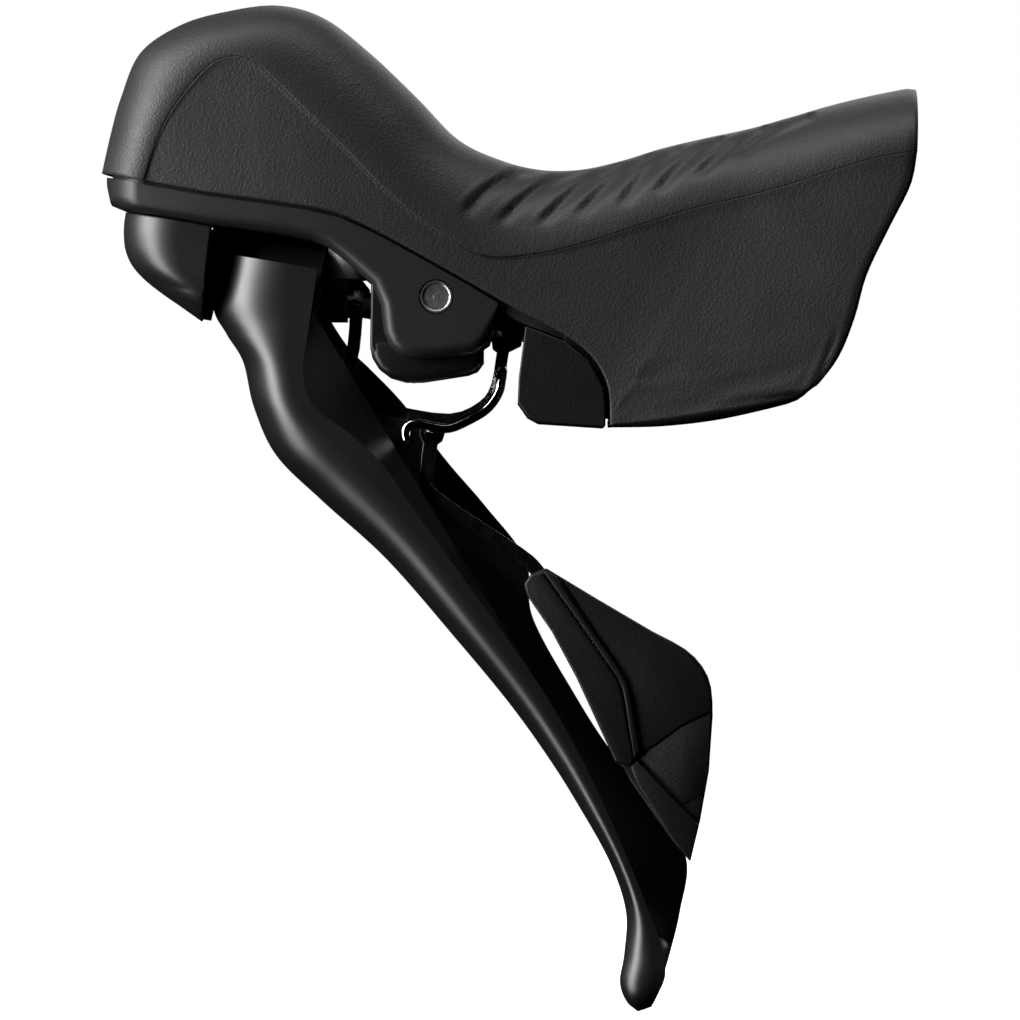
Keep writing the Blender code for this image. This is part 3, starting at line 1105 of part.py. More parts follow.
def main():
    """Build every sub-part."""
    for old in list(bpy.data.objects):
        bpy.data.objects.remove(old)
    rubber = material("hood_rubber", (0.03, 0.03, 0.032), 0.75)
    moulding = material("bracket_moulding", (0.018, 0.018, 0.02), 0.5)
    gloss = material("gloss_lacquer", (0.006, 0.006, 0.007), 0.25)
    grip = material("paddle_moulding", (0.009, 0.009, 0.009), 0.6)
    steel = material("black_steel", (0.05, 0.05, 0.055), 0.3, 1.0)
    bright = material("turned_steel", (0.35, 0.35, 0.36), 0.3, 1.0)
    chrome = material("chrome", (0.8, 0.8, 0.82), 0.1, 1.0)
    spring_steel = material("spring_steel", (0.25, 0.25, 0.27), 0.35, 1.0)
    alloy = material("machined_alloy", (0.4, 0.4, 0.41), 0.4, 1.0)
    brass = material("bearing_brass", (0.55, 0.42, 0.2), 0.35, 1.0)
    seal = material("seal_rubber", (0.02, 0.02, 0.02), 0.6)
    make_hood(rubber)
    make_bracket(moulding)
    make_lower_cover(moulding, bright)
    make_pivot(bright, spring_steel)
    make_reservoir(moulding, bright, seal)
    make_cylinder(alloy, bright, spring_steel, seal)
    make_hose_end(brass, alloy, moulding)
    make_reach_screw(bright)
    make_clamp(bright, alloy)
    make_carrier(steel, brass, bright)
    make_axle(bright, steel)
    make_name_cap(gloss, bright)
    make_blade(gloss)
    make_hub(gloss, steel, brass, bright)
    make_ratchet(alloy, bright, spring_steel)
    make_yoke(steel, spring_steel)
    make_arm(steel, chrome)
    make_paddle(grip)
    make_grip_rivets(bright)


main()
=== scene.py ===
"""Dress the brake and shift lever: fine forms, finishes, light and camera.

Forms are worked in millimetres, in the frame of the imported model, and turned
to metres when a piece is placed. +X points back to the rider, +Y outboard and
+Z up.
"""

from __future__ import annotations

import json
import logging
import math
from dataclasses import dataclass, field
from enum import Enum
from typing import Callable, Sequence

import bmesh
import bpy
import numpy as np
from mathutils import Matrix, Vector


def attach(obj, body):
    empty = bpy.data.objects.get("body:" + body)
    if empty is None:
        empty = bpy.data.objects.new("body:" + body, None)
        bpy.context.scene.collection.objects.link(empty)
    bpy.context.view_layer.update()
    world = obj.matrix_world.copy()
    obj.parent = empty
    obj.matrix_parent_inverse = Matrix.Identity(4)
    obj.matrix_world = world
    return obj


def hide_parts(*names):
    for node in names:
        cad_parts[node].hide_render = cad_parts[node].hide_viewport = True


MM = 0.001
LOG = logging.getLogger("lever")
Point = tuple[float, float]
Socket = bpy.types.NodeSocket
PIVOT = (-68.9, 0.0, -16.9)
SHIFT_CENTRE = (-82.8, 0, -18.0)
SHIFT_AXIS = (-0.985, 0, 0.172)


class Body(Enum):
    """The moving bodies of the lever."""

    BRACKET = "bracket"
    CARRIER = "carrier"
    LEVER = "main_lever"
    PADDLE = "paddle"


# ---------------------------------------------------------------- node helpers

def to_linear(hex_colour: str) -> tuple[float, float, float, float]:
    """Turn an sRGB hex colour to linear values.

    Args:
        hex_colour: a colour such as "#2b2b2d".

    Returns:
        Red, green, blue and alpha.
    """
    parts = [int(hex_colour[i:i + 2], 16) / 255 for i in (1, 3, 5)]
    linear = [c / 12.92 if c <= 0.04045 else ((c + 0.055) / 1.055) ** 2.4 for c in parts]
    return (*linear, 1.0)


def add_node(tree: bpy.types.NodeTree, kind: str, settings: dict | None = None,
             links: dict | None = None) -> bpy.types.Node:
    """Add a shader node with its settings and links.

    Args:
        tree: the node tree.
        kind: the node's type name, less its ShaderNode prefix.
        settings: properties by name, or input values by socket name or number.
        links: output sockets by input socket name or number.

    Returns:
        The new node.
    """
    node = tree.nodes.new("ShaderNode" + kind)
    for key, value in (settings or {}).items():
        if isinstance(key, str) and hasattr(node, key):
            setattr(node, key, value)
        else:
            node.inputs[key].default_value = value
    for key, socket in (links or {}).items():
        tree.links.new(socket, node.inputs[key])
    return node


def per_mm(size: float) -> float:
    """Return a texture scale whose features are about size millimetres across."""
    return 1.0 / (size * MM)


# ---------------------------------------------------------------- finishes

@dataclass(frozen=True)
class Finish:
    """A surface: what it is made of and how it was made.

    The grain is a raised cell pattern, as on textured mouldings. The flow is a
    slow change in gloss, as a hand-polished or dipped surface has.
    """

    name: str
    colour: str
    roughness: float
    metallic: float = 0.0
    specular: float = 0.5
    grain_mm: float = 0.0
    grain_height_mm: float = 0.0
    ripple_mm: float = 3.0
    ripple_height_mm: float = 0.0
    flow_mm: float = 9.0
    flow: float = 0.05
    shade: float = 0.12
    coat: float = 0.0
    coat_roughness: float = 0.1
    rings_mm: float = 0.0
    ring_height_mm: float = 0.006
    ring_axis: str = "Y"
    ring_centre: tuple[float, float, float] = (0.0, 0.0, 0.0)
    anisotropy: float = 0.0

    def colour_socket(self, tree: bpy.types.NodeTree, where: Socket) -> Socket:
        """Return the colour, a little lighter and darker across the surface.

        Args:
            tree: the material's node tree.
            where: the texture coordinates.

        Returns:
            A colour socket.
        """
        base = to_linear(self.colour)
        noise = add_node(tree, "TexNoise", {"Scale": per_mm(self.flow_mm), "Detail": 4.0}, {"Vector": where})
        low = tuple(c * (1 - self.shade) for c in base[:3])
        high = tuple(c * (1 + self.shade) for c in base[:3])
        ramp = add_node(tree, "ValToRGB", {}, {"Fac": noise.outputs["Fac"]})
        ramp.color_ramp.elements[0].position = 0.3
        ramp.color_ramp.elements[1].position = 0.7
        ramp.color_ramp.elements[0].color = (*low, 1)
        ramp.color_ramp.elements[1].color = (*high, 1)
        return ramp.outputs["Color"]

    def gloss_socket(self, tree: bpy.types.NodeTree, where: Socket) -> Socket:
        """Return the roughness, which drifts a little across the surface.

        Args:
            tree: the material's node tree.
            where: the texture coordinates.

        Returns:
            A value socket.
        """
        noise = add_node(tree, "TexNoise", {"Scale": per_mm(self.flow_mm * 0.6), "Detail": 5.0},
                         {"Vector": where})
        spread = add_node(tree, "MapRange", {"To Min": max(self.roughness - self.flow, 0.02),
                                             "To Max": min(self.roughness + self.flow, 1.0)},
                          {"Value": noise.outputs["Fac"]})
        return spread.outputs["Result"]

    def relief_socket(self, tree: bpy.types.NodeTree, where: Socket) -> Socket | None:
        """Return the normal that carries the grain, ripple and turning rings.

        Args:
            tree: the material's node tree.
            where: the texture coordinates.

        Returns:
            The normal socket, or None where the surface has no relief.
        """
        normal = None
        if self.ripple_height_mm:
            ripple = add_node(tree, "TexNoise", {"Scale": per_mm(self.ripple_mm), "Detail": 2.0},
                              {"Vector": where})
            normal = self.bump(tree, ripple.outputs["Fac"], self.ripple_height_mm, normal)
        if self.grain_mm:
            cells = add_node(tree, "TexVoronoi", {"feature": "SMOOTH_F1", "Scale": per_mm(self.grain_mm),
                                                  "Smoothness": 0.35}, {"Vector": where})
            creases = add_node(tree, "TexNoise", {"Scale": per_mm(self.grain_mm * 0.8), "Detail": 3.0},
                               {"Vector": where})
            both = add_node(tree, "Math", {"operation": "ADD"},
                            {0: cells.outputs["Distance"], 1: creases.outputs["Fac"]})
            normal = self.bump(tree, both.outputs["Value"], self.grain_height_mm, normal)
        if self.rings_mm:
            centre = add_node(tree, "Mapping", {"Location": tuple(-c * MM for c in self.ring_centre)},
                              {"Vector": where})
            rings = add_node(tree, "TexWave", {"wave_type": "RINGS", "rings_direction": self.ring_axis,
                                               "Scale": per_mm(self.rings_mm) / 20.0, "Distortion": 0.4},
                             {"Vector": centre.outputs["Vector"]})
            normal = self.bump(tree, rings.outputs["Fac"], self.ring_height_mm, normal)
        return normal

    def bump(self, tree: bpy.types.NodeTree, height: Socket, size_mm: float,
             under: Socket | None) -> Socket:
        """Return a normal with a height laid on it.

        Args:
            tree: the material's node tree.
            height: the height, from 0 to about 1.
            size_mm: the height of a full step in millimetres.
            under: the normal below it, if any.

        Returns:
            The normal socket.
        """
        links = {"Height": height}
        if under is not None:
            links["Normal"] = under
        return add_node(tree, "Bump", {"Distance": size_mm * MM, "Strength": 1.0}, links).outputs["Normal"]

    def paint(self) -> bpy.types.Material:
        """Make the material, or return it if it was made before."""
        made = bpy.data.materials.get(self.name)
        if made:
            return made
        made = bpy.data.materials.new(self.name)
        made.use_nodes = True
        tree = made.node_tree
        shader = tree.nodes["Principled BSDF"]
        where = add_node(tree, "TexCoord").outputs["Object"]
        tree.links.new(self.colour_socket(tree, where), shader.inputs["Base Color"])
        tree.links.new(self.gloss_socket(tree, where), shader.inputs["Roughness"])
        normal = self.relief_socket(tree, where)
        if normal is not None:
            tree.links.new(normal, shader.inputs["Normal"])
        shader.inputs["Metallic"].default_value = self.metallic
        shader.inputs["Specular IOR Level"].default_value = self.specular
        shader.inputs["Coat Weight"].default_value = self.coat
        shader.inputs["Coat Roughness"].default_value = self.coat_roughness
        shader.inputs["Anisotropic"].default_value = self.anisotropy
        self.finish_off(tree, shader)
        return made

    def finish_off(self, tree: bpy.types.NodeTree, shader: bpy.types.Node) -> None:
        """Add what only this finish has."""


@dataclass(frozen=True)
class HoodRubber(Finish):
    """Moulded rubber: its parting line is a thin nick round the crown, with painted shade darkening the
    colour along it.
    """

    nick_mm: float = 0.22
    nick_depth_mm: float = 0.08
    # share of the rubber's colour kept along the nick: painted shade
    nick_painted_shade: float = 0.35

    def finish_off(self, tree: bpy.types.NodeTree, shader: bpy.types.Node) -> None:
        """Cut the parting line into the relief and paint shade into the colour along it.

        Args:
            tree: the material's node tree.
            shader: its shader, with colour and normal already linked.
        """
        across = add_node(tree, "Attribute", {"attribute_name": "crease"})
        gap = add_node(tree, "Math", {"operation": "ABSOLUTE"}, {0: across.outputs["Fac"]})
        line = add_node(tree, "MapRange", {"From Max": self.nick_mm, "interpolation_type": "SMOOTHSTEP"},
                        {"Value": gap.outputs["Value"]})
        plain = shader.inputs["Base Color"].links[0].from_socket
        # painted shade: the colour is darkened along the parting line, standing in for the shade in its nick
        dark = add_node(tree, "Mix", {"data_type": "RGBA"})
        tree.links.new(line.outputs["Result"], dark.inputs[0])
        dark.inputs[6].default_value = tuple(c * self.nick_painted_shade for c in to_linear(self.colour)[:3]) + (1.0,)
        tree.links.new(plain, dark.inputs[7])
        tree.links.new(dark.outputs[2], shader.inputs["Base Color"])
        normal = shader.inputs["Normal"].links[0].from_socket
        cut = self.bump(tree, line.outputs["Result"], self.nick_depth_mm, normal)
        tree.links.new(cut, shader.inputs["Normal"])


# Moulded rubber, spark-eroded tool: a fine leathery grain that breaks the light.
HOOD_RUBBER = HoodRubber("hood rubber, moulded", "#262627", 0.52, specular=0.5, grain_mm=0.5,
                         grain_height_mm=0.045, ripple_mm=1.6, ripple_height_mm=0.02,
                         flow_mm=14.0, flow=0.06, shade=0.08)
# Glass-filled nylon, moulded: dry and even, with a soft broad highlight.
NYLON = Finish("glass-filled nylon, moulded", "#242426", 0.44, specular=0.45, grain_mm=0.35,
               grain_height_mm=0.012, ripple_mm=8.0, ripple_height_mm=0.03, flow=0.05)
# The same nylon, coarser, on the cover under the bracket; its darker colour is painted shade from the bracket
# above it.
COVER_NYLON_PAINTED_SHADE = Finish("cover nylon, textured, darkened as painted shade", "#131314", 0.5, specular=0.35, grain_mm=0.5,
                     grain_height_mm=0.03, flow=0.06)
# Lacquered nylon: a satin skin with a clean soft highlight.
CAP_LACQUER = Finish("cap lacquer, sprayed satin", "#1b1b1c", 0.44, specular=0.6, ripple_mm=5.0,
                     ripple_height_mm=0.02, flow=0.03, coat=0.25, coat_roughness=0.3)
# Forged alloy under satin lacquer: deep black with long soft reflections.
BLADE_LACQUER = Finish("blade lacquer on forged alloy", "#111112", 0.42, specular=0.7, ripple_mm=2.2,
                       ripple_height_mm=0.006, flow_mm=20.0, flow=0.03, coat=0.5, coat_roughness=0.34)
# Nylon moulded in an etched tool: fine dots that dull the face of the paddle.
PADDLE_NYLON = Finish("paddle nylon, etched moulding", "#141415", 0.5, specular=0.38, grain_mm=0.42,
                      grain_height_mm=0.03, flow=0.05)
# Black zinc-nickel on pressed steel: dark mirror with bright edges.
BLACK_PLATE = Finish("black zinc-nickel plate on steel", "#8a8a8e", 0.22, metallic=1.0, ripple_mm=1.5,
                     ripple_height_mm=0.16, flow_mm=4.0, flow=0.06, shade=0.25)
# Cast carrier under black e-coat: dull, slightly uneven.
BLACK_COAT = Finish("black e-coat on cast steel", "#101011", 0.42, specular=0.45, ripple_mm=1.8,
                    ripple_height_mm=0.03, flow=0.08)
# Turned stainless steel: fine rings that spread the highlight.
TURNED = Finish("stainless steel, turned", "#8d8e90", 0.34, metallic=1.0, rings_mm=0.25, flow_mm=3.0,
                flow=0.06, anisotropy=0.2)
# The pivot pin's face, turned from its centre outwards.
PIN_TURNED = Finish("pivot pin steel, faced off", "#b4b5b8", 0.42, metallic=1.0, rings_mm=0.35,
                    ring_centre=PIVOT, flow_mm=2.0, flow=0.08, shade=0.2)
# Bright chromium on drawn wire: a mirror with a faint drawn haze.
CHROME = Finish("bright chromium on wire", "#dcdde0", 0.09, metallic=1.0, ripple_mm=1.2,
                ripple_height_mm=0.008, flow_mm=2.0, flow=0.05, shade=0.05)
# Drawn spring wire, oiled.
SPRING = Finish("spring wire, drawn and oiled", "#55565a", 0.3, metallic=1.0, flow_mm=1.0, flow=0.1)
# Machined alloy: fine tool marks and a cool grey.
ALLOY = Finish("aluminium alloy, machined", "#a9abae", 0.38, metallic=1.0, rings_mm=0.3,
               ring_axis="X", flow_mm=3.0, flow=0.06)
# Bead-blasted anodised alloy: even, soft and grey.
BLASTED = Finish("aluminium boss, bead blasted", "#8c8d90", 0.55, metallic=0.25, grain_mm=0.3,
                 grain_height_mm=0.02, flow_mm=2.0, flow=0.05)
# Turned bearing brass.
BRASS = Finish("bearing brass, turned", "#b9974f", 0.32, metallic=1.0, rings_mm=0.3, flow_mm=2.0, flow=0.06)
# Seal rubber, ground smooth.
SEAL = Finish("seal rubber, ground", "#1c1c1d", 0.5, grain_mm=0.3, grain_height_mm=0.01)

SLOT_FINISH = {
    "hood_rubber": HOOD_RUBBER, "bracket_moulding": NYLON, "cap_lacquer": CAP_LACQUER,
    "blade_lacquer": BLADE_LACQUER, "paddle_moulding": PADDLE_NYLON, "black_steel": BLACK_COAT,
    "turned_steel": TURNED, "bright_chrome": CHROME, "spring_steel": SPRING,
    "machined_alloy": ALLOY, "bearing_brass": BRASS, "seal_rubber": SEAL,
}


# ---------------------------------------------------------------- mesh helpers

def smooth_rows(rows: np.ndarray, places: np.ndarray) -> np.ndarray:
    """Run a smooth curve through rows of values.

    Args:
        rows: one row of values for each whole place.
        places: the places to read, from 0 to the last row.

    Returns:
        The values at each place.
    """
    slope = np.zeros_like(rows)
    slope[1:-1] = (rows[2:] - rows[:-2]) / 2
    slope[0] = rows[1] - rows[0]
    slope[-1] = rows[-1] - rows[-2]
    low = np.clip(np.floor(places).astype(int), 0, len(rows) - 2)
    part = (places - low)[:, None]
    square = part * part
    cube = square * part
    return (rows[low] * (2 * cube - 3 * square + 1) + slope[low] * (cube - 2 * square + part)
            + rows[low + 1] * (3 * square - 2 * cube) + slope[low + 1] * (cube - square))


def straight_rows(values: Sequence[float], places: np.ndarray) -> np.ndarray:
    """Read values at places between whole rows, with straight runs."""
    return np.interp(places, np.arange(len(values)), values)


def cornered_rows(rows: np.ndarray, places: np.ndarray, corner: int) -> np.ndarray:
    """Read points between whole rows: smooth runs that meet at a sharp corner.

    Args:
        rows: one point for each whole place.
        places: the places to read.
        corner: the row of the corner.

    Returns:
        The points.
    """
    before = smooth_rows(rows[:corner + 1], np.clip(places, 0, corner))
    after = smooth_rows(rows[corner:], np.clip(places - corner, 0, len(rows) - 1 - corner))
    return np.where((places <= corner)[:, None], before, after)


def step_up(value: np.ndarray) -> np.ndarray:
    """Return a smooth step from 0 to 1 as value goes from 0 to 1."""
    inside = np.clip(value, 0, 1)
    return inside * inside * (3 - 2 * inside)


def grid_mesh(columns: int, rows: int) -> tuple[bmesh.types.BMesh, np.ndarray, np.ndarray]:
    """Make a flat grid to be shaped.

    Args:
        columns: cells along the first way.
        rows: cells along the second way.

    Returns:
        The grid and each vertex's two shares, from 0 to 1.
    """
    bm = bmesh.new()
    bmesh.ops.create_grid(bm, x_segments=columns, y_segments=rows, size=0.5)
    flat = np.array([vert.co[:2] for vert in bm.verts]) + 0.5
    return bm, flat[:, 0], flat[:, 1]


def move_verts(bm: bmesh.types.BMesh, points: np.ndarray) -> None:
    """Put each vertex at its point.

    Args:
        bm: the mesh.
        points: one point for each vertex, in order.
    """
    for vert, point in zip(bm.verts, points):
        vert.co = point
    bm.normal_update()


def slab(outline: Sequence[Point], y_low: float, y_high: float, ease: float = 0.0,
         segments: int = 2) -> bmesh.types.BMesh:
    """Extrude a side outline across the lever and round its edges.

    Args:
        outline: points of the outline in X and Z.
        y_low: the near face.
        y_high: the far face.
        ease: the radius of its edges.
        segments: the facets in each rounded edge.

    Returns:
        A closed plate.
    """
    bm = bmesh.new()
    face = bm.faces.new([bm.verts.new((x, y_low, z)) for x, z in outline])
    grown = bmesh.ops.extrude_face_region(bm, geom=[face])["geom"]
    far = [item for item in grown if isinstance(item, bmesh.types.BMVert)]
    bmesh.ops.translate(bm, verts=far, vec=(0, y_high - y_low, 0))
    bmesh.ops.recalc_face_normals(bm, faces=bm.faces)
    if ease:
        soften(bm, ease, segments)
    return bm


def soften(bm: bmesh.types.BMesh, radius: float, segments: int = 3, angle: float = 38.0,
           wanted: Callable[[bmesh.types.BMEdge], bool] | None = None, clamp: bool = True) -> None:
    """Round the sharp edges of a mesh.

    Args:
        bm: the mesh.
        radius: the width of the rounding.
        segments: its facets.
        angle: the least angle of an edge that is rounded, in degrees.
        wanted: a test that an edge has to pass.
        clamp: whether the rounding stops where it would meet another.
    """
    least = math.radians(angle)
    edges = [edge for edge in bm.edges if len(edge.link_faces) == 2
             and edge.calc_face_angle(0) > least and (wanted is None or wanted(edge))]
    bmesh.ops.bevel(bm, geom=edges, offset=radius, offset_type="OFFSET", affect="EDGES",
                    segments=segments, profile=0.5, material=-1, clamp_overlap=clamp)


def spun(profile: Sequence[Point], start: Vector, direction: Vector, steps: int = 48) -> bmesh.types.BMesh:
    """Spin a profile round an axis.

    Args:
        profile: distance along the axis and radius, from one end to the other.
        start: a point on the axis.
        direction: the axis.
        steps: the facets round it.

    Returns:
        The turned body.
    """
    bm = bmesh.new()
    verts = [bm.verts.new((radius, 0, along)) for along, radius in profile]
    edges = [bm.edges.new(pair) for pair in zip(verts, verts[1:])]
    bmesh.ops.spin(bm, geom=verts + edges, cent=(0, 0, 0), axis=(0, 0, 1), angle=math.tau,
                   steps=steps, use_merge=True)
    bmesh.ops.remove_doubles(bm, verts=bm.verts, dist=1e-4)
    turn = Vector(direction).to_track_quat("Z", "Y").to_matrix().to_4x4()
    bmesh.ops.transform(bm, verts=bm.verts, matrix=Matrix.Translation(start) @ turn)
    bmesh.ops.recalc_face_normals(bm, faces=bm.faces)
    return bm


def swept(path: Sequence[Sequence[float]], radius: float, sides: int,
          rounds: int) -> bmesh.types.BMesh:
    """Sweep a round wire along a path, with domed ends.

    Args:
        path: points in X, Y and Z.
        radius: the wire's radius.
        sides: the facets round it.
        rounds: how often the path is smoothed.

    Returns:
        The closed wire.
    """
    points = np.array(path, dtype=float)
    for _ in range(rounds):
        low = points[:-1] * 0.75 + points[1:] * 0.25
        high = points[:-1] * 0.25 + points[1:] * 0.75
        points = np.vstack([points[:1], np.stack([low, high], 1).reshape(-1, 3)[1:-1], points[-1:]])
    bm = bmesh.new()
    last = None
    count = len(points)
    for index, point in enumerate(points):
        ahead = Vector(points[min(index + 1, count - 1)] - points[max(index - 1, 0)])
        turn = ahead.to_track_quat("Z", "Y").to_matrix().to_4x4()
        size = radius * (0.72 if index in (0, count - 1) else 1.0)
        made = bmesh.ops.create_circle(bm, segments=sides, radius=size,
                                       matrix=Matrix.Translation(Vector(point)) @ turn)
        ring = list({edge for vert in made["verts"] for edge in vert.link_edges})
        if last:
            bmesh.ops.bridge_loops(bm, edges=last + ring)
        last = ring
    bmesh.ops.holes_fill(bm, edges=bm.edges, sides=0)
    bmesh.ops.recalc_face_normals(bm, faces=bm.faces)
    return bm


def merged(*parts: bmesh.types.BMesh) -> bmesh.types.BMesh:
    """Put several meshes into one.

    Args:
        parts: the meshes, which are used up.

    Returns:
        The whole mesh.
    """
    whole = bmesh.new()
    for part in parts:
        mesh = bpy.data.meshes.new("part")
        part.to_mesh(mesh)
        part.free()
        whole.from_mesh(mesh)
        bpy.data.meshes.remove(mesh)
    return whole


def node_copy(node: str) -> bmesh.types.BMesh:
    """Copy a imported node's mesh, in millimetres, merged and with whole flat faces.

    Args:
        node: the node's name.

    Returns:
        Its mesh as a new bmesh.
    """
    bm = bmesh.new()
    bm.from_mesh(FRAME["nodes"][node].data)
    bmesh.ops.scale(bm, vec=(1 / MM,) * 3, verts=bm.verts)
    bmesh.ops.remove_doubles(bm, verts=bm.verts, dist=0.002)
    bmesh.ops.dissolve_limit(bm, angle_limit=math.radians(1.0), verts=bm.verts, edges=bm.edges)
    return bm


def place(name: str, bm: bmesh.types.BMesh, finish: Finish, body: Body, replaced: Sequence[str] = (),
          angle: float = 40.0, steady: bool = False) -> bpy.types.Object:
    """Turn a bmesh in millimetres into a finished piece that rides on a body.

    Args:
        name: the piece's name.
        bm: its mesh.
        finish: its finish.
        body: the body that it rides on.
        replaced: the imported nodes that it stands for.
        angle: the least angle of an edge that stays crisp, in degrees.
        steady: whether its wide faces are shaded flat.

    Returns:
        The piece.
    """
    bmesh.ops.scale(bm, vec=(MM,) * 3, verts=bm.verts)
    mesh = bpy.data.meshes.new(name)
    bm.to_mesh(mesh)
    bm.free()
    mesh.shade_smooth()
    if steady:
        steady_normals(mesh, angle)
    else:
        mesh.set_sharp_from_angle(angle=math.radians(angle))
    piece = bpy.data.objects.new(name, mesh)
    bpy.context.scene.collection.objects.link(piece)
    mesh.materials.append(finish.paint())
    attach(piece, body.value)
    if replaced:
        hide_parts(*replaced)
    LOG.info("%s: %d faces", name, len(mesh.polygons))
    return piece


def steady_normals(mesh: bpy.types.Mesh, angle: float) -> None:
    """Shade a mesh so that its wide faces stay flat between rounded edges.

    Args:
        mesh: the mesh.
        angle: the least angle of an edge that stays crisp, in degrees.
    """
    limit = math.cos(math.radians(angle))
    normals = [np.array(face.normal) for face in mesh.polygons]
    fans: dict[int, list[int]] = {}
    for face in mesh.polygons:
        for vert in face.vertices:
            fans.setdefault(vert, []).append(face.index)
    corners = []
    for face in mesh.polygons:
        own = normals[face.index]
        for vert in face.vertices:
            near = [i for i in fans[vert] if normals[i] @ own > limit]
            total = sum(normals[i] * mesh.polygons[i].area for i in near)
            corners.append(total / max(np.linalg.norm(total), 1e-20))
    mesh.normals_split_custom_set(corners)


def distance_to_line(points: np.ndarray,
                     line: Sequence[Point]) -> tuple[np.ndarray, np.ndarray, np.ndarray]:
    """Measure points against a line of straight runs.

    Args:
        points: points in X and Z, one to a row.
        line: the line's points.

    Returns:
        The distance of each point, its side (positive to the left of the line's
        course) and its share of the way along the line.
    """
    ends = np.array(line, dtype=float)
    runs = ends[1:] - ends[:-1]
    length = np.linalg.norm(runs, axis=1)
    before = np.concatenate([[0], np.cumsum(length)])
    offset = points[:, None, :] - ends[None, :-1, :]
    share = np.clip((offset * runs).sum(2) / (length ** 2), 0, 1)
    away = offset - share[:, :, None] * runs
    gap = np.linalg.norm(away, axis=2)
    best = gap.argmin(1)
    rows = np.arange(len(points))
    side = np.sign(runs[best, 0] * away[rows, best, 1] - runs[best, 1] * away[rows, best, 0])
    return gap[rows, best], side, (before[best] + share[rows, best] * length[best]) / before[-1]


def curved(start: Point, bend: Point, end: Point, steps: int = 16) -> list[Point]:
    """Draw a smooth bend.

    Args:
        start: where it starts.
        bend: the point that pulls it over.
        end: where it ends.
        steps: the runs along it.

    Returns:
        Points from start to end.
    """
    line = []
    for step in range(steps + 1):
        t = step / steps
        line.append(tuple((1 - t) ** 2 * a + 2 * t * (1 - t) * b + t * t * c
                          for a, b, c in zip(start, bend, end)))
    return line


# ---------------------------------------------------------------- hood

